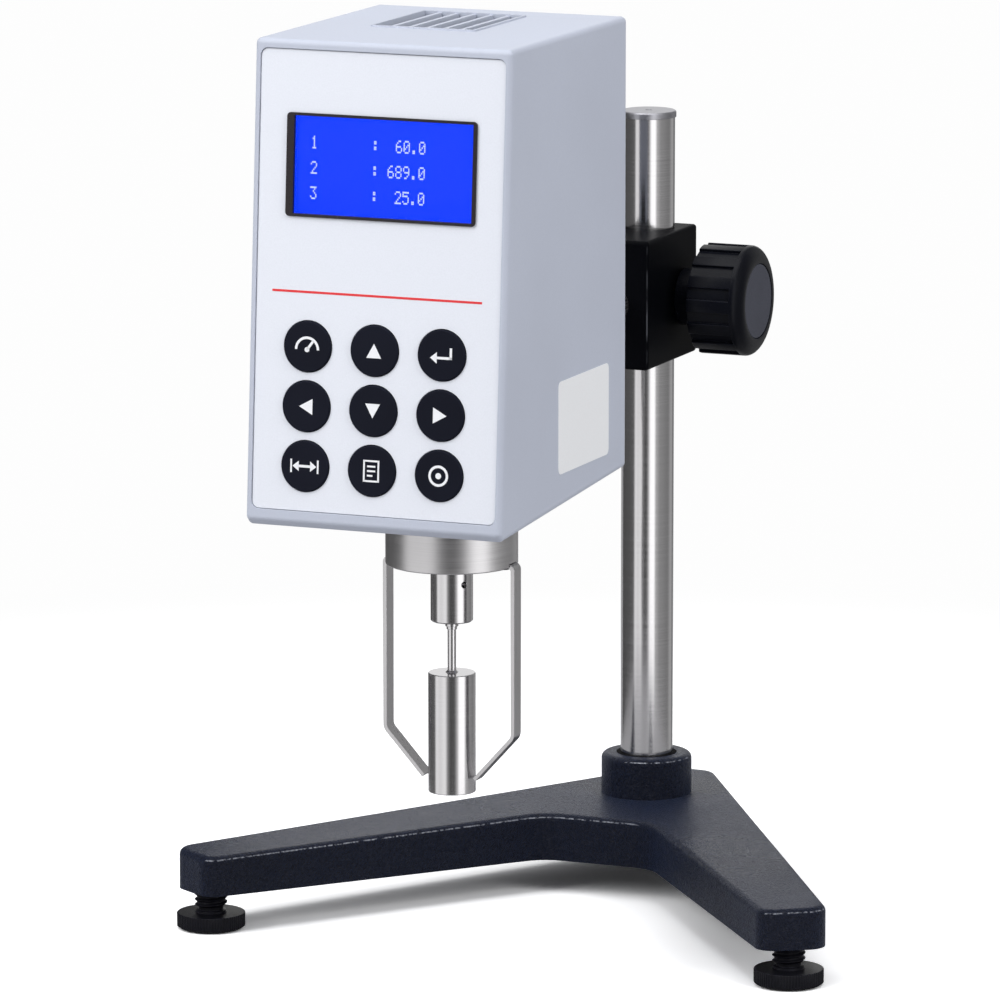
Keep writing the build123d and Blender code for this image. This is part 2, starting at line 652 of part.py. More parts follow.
with BuildPart() as back_bracket:
    bracket_front_y = spindle_y + plate_d / 2 + 0.2
    bracket_rear_y = head_rear_y - panel_t - 0.05
    bracket_low_z = rear_opening_low + 2.4
    with BuildSketch(Plane.XZ.offset(-bracket_rear_y)):
        with Locations((0, (bracket_low_z + upper_plate_z + plate_t) / 2)):
            Rectangle(plate_w, upper_plate_z + plate_t - bracket_low_z)
        with Locations((0, clamp_z)):
            with GridLocations(flange_side - 13, flange_side - 13, 2, 2):
                Circle(2.45, mode=Mode.SUBTRACT)
    extrude(amount=bracket_t)
    with BuildSketch(Plane.XY.offset(upper_plate_z + plate_t)):
        with Locations((0, (bracket_front_y - 14 + bracket_rear_y) / 2)):
            Rectangle(plate_w, bracket_rear_y - bracket_front_y + 14)
    extrude(amount=bracket_t)
    with BuildSketch(Plane.YZ):
        with BuildLine():
            Polyline((bracket_rear_y - 1, lower_plate_z + plate_t), (bracket_rear_y - 1, lower_plate_z + plate_t + 3),
                     (bracket_front_y - 14, lower_plate_z + plate_t + 3), (bracket_front_y - 14, lower_plate_z + plate_t),
                     close=True)
        make_face()
    extrude(amount=26, both=True)
write(back_bracket, "back_bracket")

with BuildPart() as motor:
    with Locations((0, spindle_y, upper_plate_z + plate_t)):
        Cylinder(motor_r, motor_h, align=(Align.CENTER, Align.CENTER, Align.MIN))
    chamfer(motor.edges().sort_by(Axis.Z)[-1], 1.2)
    with Locations((0, spindle_y, upper_plate_z + plate_t)):
        Cylinder(6.8, 2.5, align=(Align.CENTER, Align.CENTER, Align.MAX))
        Cylinder(shaft_r + running, 14, mode=Mode.SUBTRACT)
write(motor, "motor")

with BuildPart() as drive_shaft:
    with Locations((0, spindle_y, drive_disc_z + 1.8)):
        Cylinder(shaft_r, upper_plate_z + plate_t + 6.5 - drive_disc_z - 1.8,
                 align=(Align.CENTER, Align.CENTER, Align.MIN))
write(drive_shaft, "drive_shaft")

spring_post_r = 17.2

with BuildPart() as drive_disc:
    with BuildSketch(Plane.XY.offset(drive_disc_z)):
        with Locations((0, spindle_y)):
            Circle(disc_r)
            with PolarLocations(disc_r, 1):
                Rectangle(8, 2, mode=Mode.SUBTRACT)
            with PolarLocations(13.5, 4, start_angle=45):
                Circle(5.0, mode=Mode.SUBTRACT)
    extrude(amount=disc_t)
    with Locations((0, spindle_y, drive_disc_z)):
        Cylinder(6.0, 9, align=(Align.CENTER, Align.CENTER, Align.MIN))
    with Locations((0, spindle_y, drive_disc_z + 1.8)):
        Cylinder(shaft_r, 20, align=(Align.CENTER, Align.CENTER, Align.MIN), mode=Mode.SUBTRACT)
    with Locations((0, spindle_y + spring_post_r, spring_z)):
        Cylinder(1.0, drive_disc_z - spring_z, align=(Align.CENTER, Align.CENTER, Align.MIN))
write(drive_disc, "drive_disc")

with BuildPart() as torsion_spring:
    spring_turns, spring_inner_r, spring_w, strip_t = 5, 4.3, 2.4, 0.5
    half_turns = 2 * spring_turns
    growth = (spring_post_r - 1.4 - spring_inner_r) / half_turns
    with BuildSketch(Plane.XY.offset(spring_z)):
        with BuildLine():
            radius, centre, side = spring_inner_r, spindle_y, 1
            for half in range(half_turns):
                start = (0, centre - side * radius)
                middle = (side * radius, centre)
                end = (0, centre + side * radius)
                ThreePointArc(start, middle, end)
                radius += growth
                centre -= side * growth
                side = -side
        trace(line_width=strip_t)
    extrude(amount=spring_w)
write(torsion_spring, "torsion_spring")

with BuildPart() as measuring_shaft:
    with BuildSketch(Plane.XZ.offset(-spindle_y)):
        with BuildLine():
            Polyline((0, nut_low + 9), (shaft_r, nut_low + 9), (shaft_r, encoder_disc_z - 4),
                     (3.8, encoder_disc_z - 4), (3.8, spring_z + spring_w + 1), (shaft_r, spring_z + spring_w + 1),
                     (shaft_r, drive_disc_z - 4), (0, drive_disc_z - 1.2), close=True)
        make_face()
    revolve(axis=Axis((0, spindle_y, 0), (0, 0, 1)))
write(measuring_shaft, "measuring_shaft")

with BuildPart() as encoder_disc:
    with BuildSketch(Plane.XY.offset(encoder_disc_z)):
        with Locations((0, spindle_y)):
            Circle(disc_r)
            Circle(3.8, mode=Mode.SUBTRACT)
            with PolarLocations(disc_r, 1):
                Rectangle(8, 2, mode=Mode.SUBTRACT)
            with PolarLocations(13.5, 6, start_angle=30):
                Circle(4.0, mode=Mode.SUBTRACT)
    extrude(amount=disc_t)
write(encoder_disc, "encoder_disc")

with BuildPart() as optical_sensors:
    for disc_z in (drive_disc_z, encoder_disc_z):
        with Locations((-disc_r - 1, spindle_y, disc_z + disc_t / 2)):
            Box(12, 8, 12)
        with Locations((-disc_r + 2, spindle_y, disc_z + disc_t / 2)):
            Box(11, 9, 4.6, mode=Mode.SUBTRACT)
    with Locations((-disc_r - 8.5, spindle_y, (drive_disc_z + encoder_disc_z) / 2)):
        Box(3, 24, drive_disc_z - encoder_disc_z + 26)
write(optical_sensors, "optical_sensors")

with BuildPart() as main_board:
    with Locations((45.5, spindle_y + 4, 335)):
        Box(1.6, 84, 64)
    with Locations((43.2, spindle_y - 8, 342), (43.2, spindle_y + 22, 325)):
        Box(3, 18, 18)
    with Locations((40.5, spindle_y + 30, 352)):
        Box(8.4, 12, 14)
write(main_board, "main_board")

# ---------------------------------------------------------------- ring, guard and measuring parts

with BuildPart() as lower_ring:
    with BuildSketch(Plane.XZ.offset(-spindle_y)):
        with BuildLine():
            Polyline((ring_bore_r, ring_low), (ring_r - 0.4, ring_low), (ring_r, ring_low + 0.4),
                     (ring_r, ring_top), (6.0, ring_top), (6.0, ring_web_low), (ring_bore_r, ring_web_low),
                     close=True)
        make_face()
    revolve(axis=Axis((0, spindle_y, 0), (0, 0, 1)))
    notch_w = ring_r - ring_bore_r + 2
    with Locations(*[(side * (ring_bore_r + notch_w / 2 - 1), spindle_y, ring_low) for side in (-1, 1)]):
        Box(notch_w, guard_w + 0.3, 2 * guard_t + 0.4, mode=Mode.SUBTRACT)
    with Locations(*[(side * 22.2, spindle_y, ring_low) for side in (-1, 1)]):
        Cylinder(1.25, 16, mode=Mode.SUBTRACT)
write(lower_ring, "lower_ring")

with BuildPart() as bearing_bush:
    with BuildSketch(Plane.XZ.offset(-spindle_y)):
        with BuildLine():
            Polyline((shaft_r + running, ring_web_low), (5.98, ring_web_low), (5.98, ring_top),
                     (shaft_r + running, ring_top), close=True)
        make_face()
    revolve(axis=Axis((0, spindle_y, 0), (0, 0, 1)))
write(bearing_bush, "bearing_bush")


def guard_leg(side):
    """Flat strip: a tab under the ring, a straight drop and a toe bent in toward the rotor."""
    with BuildPart() as leg:
        with BuildSketch(Plane.XZ.offset(-spindle_y)):
            with BuildLine():
                FilletPolyline((side * 19.4, ring_low + guard_t / 2 + 0.05),
                               (side * guard_x, ring_low + guard_t / 2 + 0.05),
                               (side * guard_x, guard_bend_z), (side * guard_toe_x, guard_toe_z),
                               radius=[2.0, 4.0])
            trace(line_width=guard_t)
        extrude(amount=guard_w / 2, both=True)
        with Locations((side * 22.2, spindle_y, ring_low)):
            Cylinder(1.4, 6, mode=Mode.SUBTRACT)
    return leg


write(guard_leg(-1), "guard_leg_left")
write(guard_leg(1), "guard_leg_right")

with BuildPart() as guard_screws:
    with Locations(*[(side * 22.2, spindle_y, ring_low - 0.1) for side in (-1, 1)]):
        Cylinder(2.3, 0.9, align=(Align.CENTER, Align.CENTER, Align.MAX))
        Cylinder(1.2, 7, align=(Align.CENTER, Align.CENTER, Align.MIN))
write(guard_screws, "guard_screws")

with BuildPart() as coupling_nut:
    with Locations((0, spindle_y, nut_low)):
        Cylinder(nut_r, nut_top - nut_low, align=(Align.CENTER, Align.CENTER, Align.MIN))
    chamfer(coupling_nut.edges(), 0.5)
    with Locations((0, spindle_y, nut_low)):
        Cylinder(stem_r, 7.5, align=(Align.CENTER, Align.CENTER, Align.MIN), mode=Mode.SUBTRACT)
    with Locations((0, spindle_y, nut_low + 9)):
        Cylinder(shaft_r, nut_top, align=(Align.CENTER, Align.CENTER, Align.MIN), mode=Mode.SUBTRACT)
    with BuildSketch(Plane(origin=(0, spindle_y, 161.5), x_dir=(0, 0, 1), z_dir=(cos(-0.55), sin(-0.55), 0))):
        Circle(1.3)
    extrude(amount=nut_r + 1, mode=Mode.SUBTRACT)
write(coupling_nut, "coupling_nut")

with BuildPart() as rotor:
    with BuildSketch(Plane.XZ.offset(-spindle_y)):
        with BuildLine():
            Polyline((0, rotor_low), (rotor_r - 0.3, rotor_low), (rotor_r, rotor_low + 0.3),
                     (rotor_r, rotor_top - 0.3), (rotor_r - 0.3, rotor_top), (shoulder_r, rotor_top),
                     (stem_r, rotor_top + 0.9), (stem_r, shoulder_low), (shoulder_r - 0.5, shoulder_low),
                     (shoulder_r - 0.5, shoulder_low + 1.2), (shoulder_r, shoulder_low + 1.2),
                     (shoulder_r, nut_low), (stem_r, nut_low), (stem_r, nut_low + 7), (0, nut_low + 7),
                     close=True)
        make_face()
    revolve(axis=Axis((0, spindle_y, 0), (0, 0, 1)))
write(rotor, "rotor")
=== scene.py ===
"""Looks of the rotational viscometer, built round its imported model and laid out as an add-on.

Metres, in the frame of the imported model: +X is to the operator's right, +Y runs from the operator to the
pole and +Z is up, with the table at zero.
"""
import json
import math

import bmesh
import bpy
from mathutils import Matrix, Vector


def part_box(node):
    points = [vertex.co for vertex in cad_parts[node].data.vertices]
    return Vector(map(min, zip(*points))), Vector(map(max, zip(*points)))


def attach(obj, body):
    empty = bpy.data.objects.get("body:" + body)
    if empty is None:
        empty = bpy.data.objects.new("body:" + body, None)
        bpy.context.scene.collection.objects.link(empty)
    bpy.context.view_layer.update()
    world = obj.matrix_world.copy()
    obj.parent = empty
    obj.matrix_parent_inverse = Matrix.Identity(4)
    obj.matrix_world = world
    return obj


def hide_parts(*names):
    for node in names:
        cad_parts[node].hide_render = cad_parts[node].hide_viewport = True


bl_info = {
    "name": "Rotational Viscometer",
    "version": (1, 0, 0),
    "blender": (4, 5, 0),
    "location": "3D View > Sidebar > Viscometer",
    "description": "Dresses the packed model of a rotational viscometer with its finishes and fine details",
    "category": "Object",
}

MM = 0.001
TURN = 2 * math.pi
SIDES = ("left", "right", "rear")
KEYS = ("speed", "up", "enter", "left", "down", "right", "range", "print", "set")

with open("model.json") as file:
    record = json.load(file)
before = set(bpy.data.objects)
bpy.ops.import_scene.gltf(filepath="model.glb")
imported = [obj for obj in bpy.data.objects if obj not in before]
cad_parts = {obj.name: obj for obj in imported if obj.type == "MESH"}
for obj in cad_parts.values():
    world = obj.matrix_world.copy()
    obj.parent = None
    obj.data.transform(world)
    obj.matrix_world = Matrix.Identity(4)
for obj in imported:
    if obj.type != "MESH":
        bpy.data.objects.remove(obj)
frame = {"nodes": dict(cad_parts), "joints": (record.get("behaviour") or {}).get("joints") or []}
nodes = frame["nodes"]
joints = {joint["name"]: joint for joint in frame["joints"]}
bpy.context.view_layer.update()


# ---------------------------------------------------------------- places read from the frame

def extent(node, direction):
    """Least and greatest distance of a node's points along a direction."""
    distances = [vertex.co.dot(direction) for vertex in nodes[node].data.vertices]
    return min(distances), max(distances)


def middle(node, direction):
    """Distance of a node's middle along a direction."""
    return sum(extent(node, direction)) / 2


class Face:
    """A flat face to draw on, with a direction across it, one up it and one out of it."""

    def __init__(self, across, out):
        self.across = Vector(across).normalized()
        self.out = Vector(out).normalized()
        self.up = self.out.cross(self.across)

    def point(self, across, up, out):
        """The point in the frame at these distances."""
        return self.across * across + self.up * up + self.out * out

    def centre(self, node):
        """Where the middle of a node lies on the face."""
        return middle(node, self.across), middle(node, self.up)

    def level(self, node):
        """How far out a node reaches."""
        return extent(node, self.out)[1]


front = Face((1, 0, 0), -Vector(joints["key_down_press"]["axis"]))
right_side = Face((0, 1, 0), (1, 0, 0))


def upright(node):
    """Matrix of a vertical turning axis through the middle of a node, at the height of zero."""
    low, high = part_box(node)
    return Matrix.Translation(((low.x + high.x) / 2, (low.y + high.y) / 2, 0))


# ---------------------------------------------------------------- settings

def length_property(name, description, default, precision=5):
    """A length setting."""
    return bpy.props.FloatProperty(name=name, description=description, default=default,
                                   unit="LENGTH", precision=precision)


class ViscometerSizes(bpy.types.PropertyGroup):
    """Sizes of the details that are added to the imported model."""

    print_height: length_property("Print height", "How far printed marks stand above their face", 0.06 * MM, 6)
    dot_pitch: length_property("Dot pitch", "Distance between display dots along a row", 0.535 * MM, 6)
    dot_rise: length_property("Dot rise", "Distance between display dots up a column", 0.71 * MM, 6)
    row_pitch: length_property("Row pitch", "Distance between rows of numerals", 9.75 * MM)
    line_width: length_property("Line width", "Width of the coloured line on the front panel", 0.9 * MM)
    plate_width: length_property("Side plate width", "Width of the blank plate on the right side", 52.5 * MM)
    plate_height: length_property("Side plate height", "Height of the blank plate on the right side", 36.5 * MM)
    foot_ridges: bpy.props.IntProperty(
        name="Foot ridges", description="Ridges round the disc of a levelling screw", default=72, min=24)
    foot_thread_pitch: length_property(
        "Foot thread pitch", "Distance between the drawn crests, coarser than the lead of the joints", 2.2 * MM)
    knob_flutes: bpy.props.IntProperty(
        name="Knob flutes", description="Grooves round the clamp knob", default=14, min=6)


def colour_property(name, description, default):
    """A colour setting."""
    return bpy.props.FloatVectorProperty(name=name, description=description, subtype="COLOR",
                                         size=3, min=0, max=1, default=default)


class ViscometerColours(bpy.types.PropertyGroup):
    """Colours of the finishes, as linear values."""

    housing: colour_property("Housing", "Powder paint of the head", (0.522, 0.557, 0.655))
    panel: colour_property("Panel", "Film on the front panel", (0.775, 0.80, 0.87))
    casting: colour_property("Casting", "Textured paint of the base", (0.0048, 0.0056, 0.0105))
    clamp: colour_property("Clamp", "Satin paint of the clamp block", (0.0022, 0.0024, 0.0036))
    knob: colour_property("Knob", "Moulded knob", (0.0028, 0.0033, 0.0060))
    key: colour_property("Key", "Key caps", (0.0075, 0.0085, 0.0155))
    steel: colour_property("Steel", "Turned stainless steel", (0.61, 0.60, 0.61))
    line: colour_property("Line", "Coloured line on the front panel", (0.75, 0.02, 0.025))
    screen: colour_property("Screen", "Lit field of the display", (0.0012, 0.044, 0.98))
    numeral: colour_property("Numeral", "Lit dots of the display", (0.62, 0.74, 1.0))


def power_property(name, description, default):
    """A lamp's power setting."""
    return bpy.props.FloatProperty(name=name, description=description, default=default, unit="POWER")


class ViscometerStudio(bpy.types.PropertyGroup):
    """Camera, floor and lamps."""

    lens: bpy.props.FloatProperty(
        name="Lens", description="Focal length in millimetres", default=281.95, min=20)
    azimuth: bpy.props.FloatProperty(
        name="Azimuth", description="How far the camera stands to the operator's right",
        default=math.radians(22.5), subtype="ANGLE")
    pitch: bpy.props.FloatProperty(
        name="Pitch", description="How far the camera looks down", default=math.radians(10.39), subtype="ANGLE")
    camera_place: bpy.props.FloatVectorProperty(
        name="Camera place", description="Where the camera stands", default=(1.17785, -2.88492, 0.75020),
        subtype="TRANSLATION")
    floor_radius: length_property("Floor radius", "Radius of the floor", 14.0)
    ambient: bpy.props.FloatProperty(
        name="Ambient", description="Strength of the even light from all round", default=0.35, min=0)
    key_lamp: power_property("Key lamp", "Power of the soft box at the front left", 38.5)
    fill_lamp: power_property("Fill lamp", "Power of the soft box at the front right", 27.0)
    top_lamp: power_property("Top lamp", "Power of the soft box overhead", 42.0)


# ---------------------------------------------------------------- mesh helpers

def new_piece(name, mesh, material, body, smooth_angle=None):
    """An object from a bmesh, finished, riding on its body."""
    data = bpy.data.meshes.new(name)
    bmesh.ops.recalc_face_normals(mesh, faces=mesh.faces)
    mesh.to_mesh(data)
    mesh.free()
    data.materials.append(material)
    if smooth_angle is not None:
        data.shade_smooth()
        data.set_sharp_from_angle(angle=smooth_angle)
    piece = bpy.data.objects.new(name, data)
    bpy.context.scene.collection.objects.link(piece)
    if body is not None:
        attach(piece, body)
    return piece


def add_prism(mesh, low_points, high_points):
    """A closed prism between two like outlines."""
    low = [mesh.verts.new(point) for point in low_points]
    high = [mesh.verts.new(point) for point in high_points]
    mesh.faces.new(list(reversed(low)))
    mesh.faces.new(high)
    for index in range(len(low)):
        following = (index + 1) % len(low)
        mesh.faces.new((low[index], low[following], high[following], high[index]))


def drawn_mesh(face, outlines, level, thickness):
    """Flat shapes of one thickness that stand on a face."""
    mesh = bmesh.new()
    for outline in outlines:
        low = [face.point(across, up, level) for across, up in outline]
        high = [face.point(across, up, level + thickness) for across, up in outline]
        add_prism(mesh, low, high)
    return mesh


def arc(centre, radius, start, end, steps):
    """Points along an arc, angles in turns."""
    points = []
    for step in range(steps + 1):
        angle = TURN * (start + (end - start) * step / steps)
        points.append((centre[0] + radius * math.cos(angle), centre[1] + radius * math.sin(angle)))
    return points


def arc_band(centre, radius, width, start, end, steps=32):
    """Outline of a bent strip."""
    outer = arc(centre, radius + width / 2, start, end, steps)
    inner = arc(centre, radius - width / 2, end, start, steps)
    return outer + inner


def strip(start, end, width):
    """Outline of a straight strip."""
    along = (Vector(end) - Vector(start)).normalized()
    aside = Vector((-along.y, along.x)) * width / 2
    return [tuple(Vector(start) - aside), tuple(Vector(end) - aside),
            tuple(Vector(end) + aside), tuple(Vector(start) + aside)]


def rounded_rectangle(centre, width, height, radius, steps=6):
    """Outline of a rectangle with round corners."""
    outline = []
    for quarter, (side, rise) in enumerate(((1, 1), (-1, 1), (-1, -1), (1, -1))):
        corner = (centre[0] + side * (width / 2 - radius), centre[1] + rise * (height / 2 - radius))
        outline += arc(corner, radius, quarter / 4, (quarter + 1) / 4, steps)
    return outline


def turned_mesh(profile, place, segments, radius_at=None, angles=None):
    """A surface turned about the Z axis of a matrix. The profile runs from end to end as (radius, height).

    radius_at(radius, height, angle) may change a radius, and angles may give the places of the columns.
    """
    if angles is None:
        angles = [TURN * index / segments for index in range(segments)]
    mesh = bmesh.new()
    rings = []
    for radius, height in profile:
        if radius == 0:
            rings.append([mesh.verts.new(place @ Vector((0, 0, height)))])
            continue
        ring = []
        for angle in angles:
            reach = radius_at(radius, height, angle) if radius_at else radius
            point = Vector((reach * math.cos(angle), reach * math.sin(angle), height))
            ring.append(mesh.verts.new(place @ point))
        rings.append(ring)
    count = len(angles)
    for low, high in zip(rings, rings[1:]):
        for index in range(count):
            following = (index + 1) % count
            corners = []
            for corner in (low[index % len(low)], low[following % len(low)],
                           high[following % len(high)], high[index % len(high)]):
                if corner not in corners:
                    corners.append(corner)
            mesh.faces.new(corners)
    return mesh


# ---------------------------------------------------------------- shader helpers

FLOAT, VECTOR = "NodeSocketFloat", "NodeSocketVector"


def feed(tree, sockets, values):
    """Give sockets what they take, each another node's output or a plain value."""
    for key, value in values.items():
        if isinstance(value, bpy.types.NodeSocket):
            tree.links.new(value, sockets[key])
        else:
            sockets[key].default_value = value


def add_node(tree, kind, place, inputs=None, **settings):
    """A node at a place in the tree, with its settings and what its sockets take."""
    node = tree.nodes.new(kind)
    node.location = place
    for name, value in settings.items():
        setattr(node, name, value)
    feed(tree, node.inputs, inputs or {})
    return node


def own_place(tree, place):
    """Coordinates that stay with the piece."""
    return add_node(tree, "ShaderNodeTexCoord", place).outputs["Object"]


def noise(tree, place, **inputs):
    """Noise in the piece's own coordinates, or in those it is given."""
    inputs.setdefault("Vector", own_place(tree, (place[0] - 200, place[1])))
    return add_node(tree, "ShaderNodeTexNoise", place, inputs).outputs["Fac"]


def calculated(tree, place, operation, *values):
    """Number worked out from one or two others."""
    inputs = dict(enumerate(values))
    return add_node(tree, "ShaderNodeMath", place, inputs, operation=operation).outputs["Value"]


def mapped(tree, place, value, source=(0.0, 1.0), target=(0.0, 1.0), **settings):
    """Number moved from one span to another."""
    inputs = {"Value": value, "From Min": source[0], "From Max": source[1],
              "To Min": target[0], "To Max": target[1]}
    return add_node(tree, "ShaderNodeMapRange", place, inputs, **settings).outputs["Result"]


def mix_colour(tree, place, factor, first, second):
    """Colour between two colours, each a socket or a plain value."""
    colours = [value if isinstance(value, bpy.types.NodeSocket) else (*value, 1) for value in (first, second)]
    mix = add_node(tree, "ShaderNodeMix", place, data_type="RGBA")
    feed(tree, mix.inputs, {"Factor": factor, 6: colours[0], 7: colours[1]})
    return mix.outputs[2]


def bump(tree, place, height, distance, normal):
    """Normal of a surface with small heights on it."""
    inputs = {"Distance": distance, "Height": height, "Normal": normal}
    return add_node(tree, "ShaderNodeBump", place, inputs).outputs["Normal"]


def start_group(name, inputs, outputs):
    """An empty shader group with named sockets, what it is given and what it gives."""
    tree = bpy.data.node_groups.new(name, "ShaderNodeTree")
    for socket_name, kind, default in inputs:
        socket = tree.interface.new_socket(socket_name, in_out="INPUT", socket_type=kind)
        socket.default_value = default
    for socket_name, kind in outputs:
        tree.interface.new_socket(socket_name, in_out="OUTPUT", socket_type=kind)
    given = add_node(tree, "NodeGroupInput", (-900, 0))
    result = add_node(tree, "NodeGroupOutput", (600, 0))
    return tree, given.outputs, result.inputs


def edge_wear_group():
    """Where edges are, broken up as rubbing does it, and the normal of a softly rounded edge."""
    name = "Edge wear"
    if name in bpy.data.node_groups:
        return bpy.data.node_groups[name]
    tree, given, result = start_group(
        name, [("Width", FLOAT, 0.6 * MM), ("Breakup", FLOAT, 420.0)], [("Edge", FLOAT), ("Normal", VECTOR)])
    rounded = add_node(tree, "ShaderNodeBevel", (-650, 150), {"Radius": given["Width"]}, samples=4)
    surface = add_node(tree, "ShaderNodeNewGeometry", (-650, -50))
    normals = {0: rounded.outputs["Normal"], 1: surface.outputs["Normal"]}
    across = add_node(tree, "ShaderNodeVectorMath", (-400, 100), normals, operation="DOT_PRODUCT")
    sharp = mapped(tree, (-150, 100), across.outputs["Value"], (0.995, 0.86))
    broken = noise(tree, (-400, -250), Scale=given["Breakup"], Detail=3)
    gaps = mapped(tree, (-150, -200), broken, (0.38, 0.62), (0.25, 1))
    feed(tree, result, {"Edge": calculated(tree, (200, 0), "MULTIPLY", sharp, gaps),
                        "Normal": rounded.outputs["Normal"]})
    return tree


def painted_glint_group():
    """A painted glint: a broken line along rounded edges that face one way at one tilt, lightened where a
    lamp's highlight would fall.
    """
    name = "Rubbed"
    if name in bpy.data.node_groups:
        return bpy.data.node_groups[name]
    tree, given, result = start_group(
        name,
        [("Toward", VECTOR, (0, -1, 0)), ("Start", FLOAT, 0.4), ("Rise", FLOAT, 0.5), ("Width", FLOAT, 0.1),
         ("Breakup", FLOAT, 700.0)],
        [("Rubbed", FLOAT)])
    normal = add_node(tree, "ShaderNodeNewGeometry", (-700, 200)).outputs["Normal"]
    facing = add_node(tree, "ShaderNodeVectorMath", (-500, 300), {0: normal, 1: given["Toward"]},
                      operation="DOT_PRODUCT")
    side = calculated(tree, (-300, 300), "GREATER_THAN", facing.outputs["Value"], given["Start"])
    split = add_node(tree, "ShaderNodeSeparateXYZ", (-500, 100), {"Vector": normal})
    offset = calculated(tree, (-300, 100), "SUBTRACT", split.outputs["Z"], given["Rise"])
    distance = calculated(tree, (-150, 100), "ABSOLUTE", offset)
    line = mapped(tree, (0, 100), distance, (0, given["Width"]), (1, 0), interpolation_type="SMOOTHSTEP")
    gaps = mapped(tree, (-300, -200), noise(tree, (-500, -200), Scale=given["Breakup"]), (0.4, 0.6))
    sided = calculated(tree, (200, 150), "MULTIPLY", side, line)
    feed(tree, result, {"Rubbed": calculated(tree, (400, 0), "MULTIPLY", sided, gaps)})
    return tree


def grain_group():
    """Noise in the piece's own coordinates. Stretch makes it fine along one axis and long along another."""
    name = "Grain"
    if name in bpy.data.node_groups:
        return bpy.data.node_groups[name]
    tree, given, result = start_group(
        name, [("Scale", FLOAT, 900.0), ("Stretch", VECTOR, (1, 1, 1)), ("Detail", FLOAT, 3.0)],
        [("Grain", FLOAT)])
    stretched = add_node(tree, "ShaderNodeVectorMath", (-600, 0),
                         {0: own_place(tree, (-900, -250)), 1: given["Stretch"]}, operation="MULTIPLY")
    fine = noise(tree, (-300, 0), Vector=stretched.outputs["Vector"], Scale=given["Scale"],
                 Detail=given["Detail"])
    feed(tree, result, {"Grain": mapped(tree, (100, 0), fine, (0.3, 0.7))})
    return tree


def wrinkle_group():
    """Textured paint: short worm-like ridges over a finer grit."""
    name = "Wrinkle"
    if name in bpy.data.node_groups:
        return bpy.data.node_groups[name]
    tree, given, result = start_group(
        name, [("Scale", FLOAT, 900.0), ("Grit", FLOAT, 0.3)], [("Height", FLOAT)])
    ridges = noise(tree, (-500, 150), Scale=given["Scale"], Detail=1, Distortion=1.6)
    folded = calculated(tree, (-50, 150), "ABSOLUTE", calculated(tree, (-250, 150), "SUBTRACT", ridges, 0.5))
    raised = mapped(tree, (120, 150), folded, (0, 0.16), (1, 0))
    finer = calculated(tree, (-700, -150), "MULTIPLY", given["Scale"], 3.5)
    grit = noise(tree, (-500, -150), Scale=finer)
    mixed = add_node(tree, "ShaderNodeMix", (350, 0), {"Factor": given["Grit"], "A": raised, "B": grit})
    feed(tree, result, {"Height": mixed.outputs["Result"]})
    return tree


def dust_group():
    """Where dust settles: faces that look up, in patches."""
    name = "Dust"
    if name in bpy.data.node_groups:
        return bpy.data.node_groups[name]
    tree, given, result = start_group(name, [("Amount", FLOAT, 0.1)], [("Dust", FLOAT)])
    normal = add_node(tree, "ShaderNodeNewGeometry", (-700, 100)).outputs["Normal"]
    split = add_node(tree, "ShaderNodeSeparateXYZ", (-500, 100), {"Vector": normal})
    level = mapped(tree, (-300, 100), split.outputs["Z"], (0.5, 1))
    patches = noise(tree, (-500, -150), Scale=26, Detail=5)
    shown = calculated(tree, (-50, 50), "MULTIPLY", level, patches)
    feed(tree, result, {"Dust": calculated(tree, (200, 50), "MULTIPLY", shown, given["Amount"])})
    return tree


def place_group(tree, group, place, **values):
    """What one use of a shader group gives, with its own values."""
    return add_node(tree, "ShaderNodeGroup", place, values, node_tree=group).outputs


def grain(tree, place, **values):
    """One use of the grain."""
    return place_group(tree, grain_group(), place, **values)["Grain"]


def edge_wear(tree, width, share):
    """How far edges are worn, up to a share, and the normal of the softened edge."""
    wear = place_group(tree, edge_wear_group(), (-1100, -200), Width=width)
    return mapped(tree, (-800, -200), wear["Edge"], target=(0.0, share)), wear["Normal"]


def settled_dust(tree, amount):
    """Where dust lies."""
    return place_group(tree, dust_group(), (-1100, -400), Amount=amount)["Dust"]


def start_material(name):
    """A material with a bare Principled shader."""
    material = bpy.data.materials.new(name)
    material.use_nodes = True
    tree = material.node_tree
    return material, tree, tree.nodes["Principled BSDF"]


def scaled(colour, share):
    """A colour made darker or lighter by one factor."""
    return tuple(min(1.0, part * share) for part in colour)


# Colour of the painted glint along rounded edges that face one way
PAINTED_GLINT_COLOUR = (0.62, 0.65, 0.74)
PAINT_DUST = (0.55, 0.55, 0.56)
SHEEN_TINT = (0.2, 0.38, 1.0, 1)


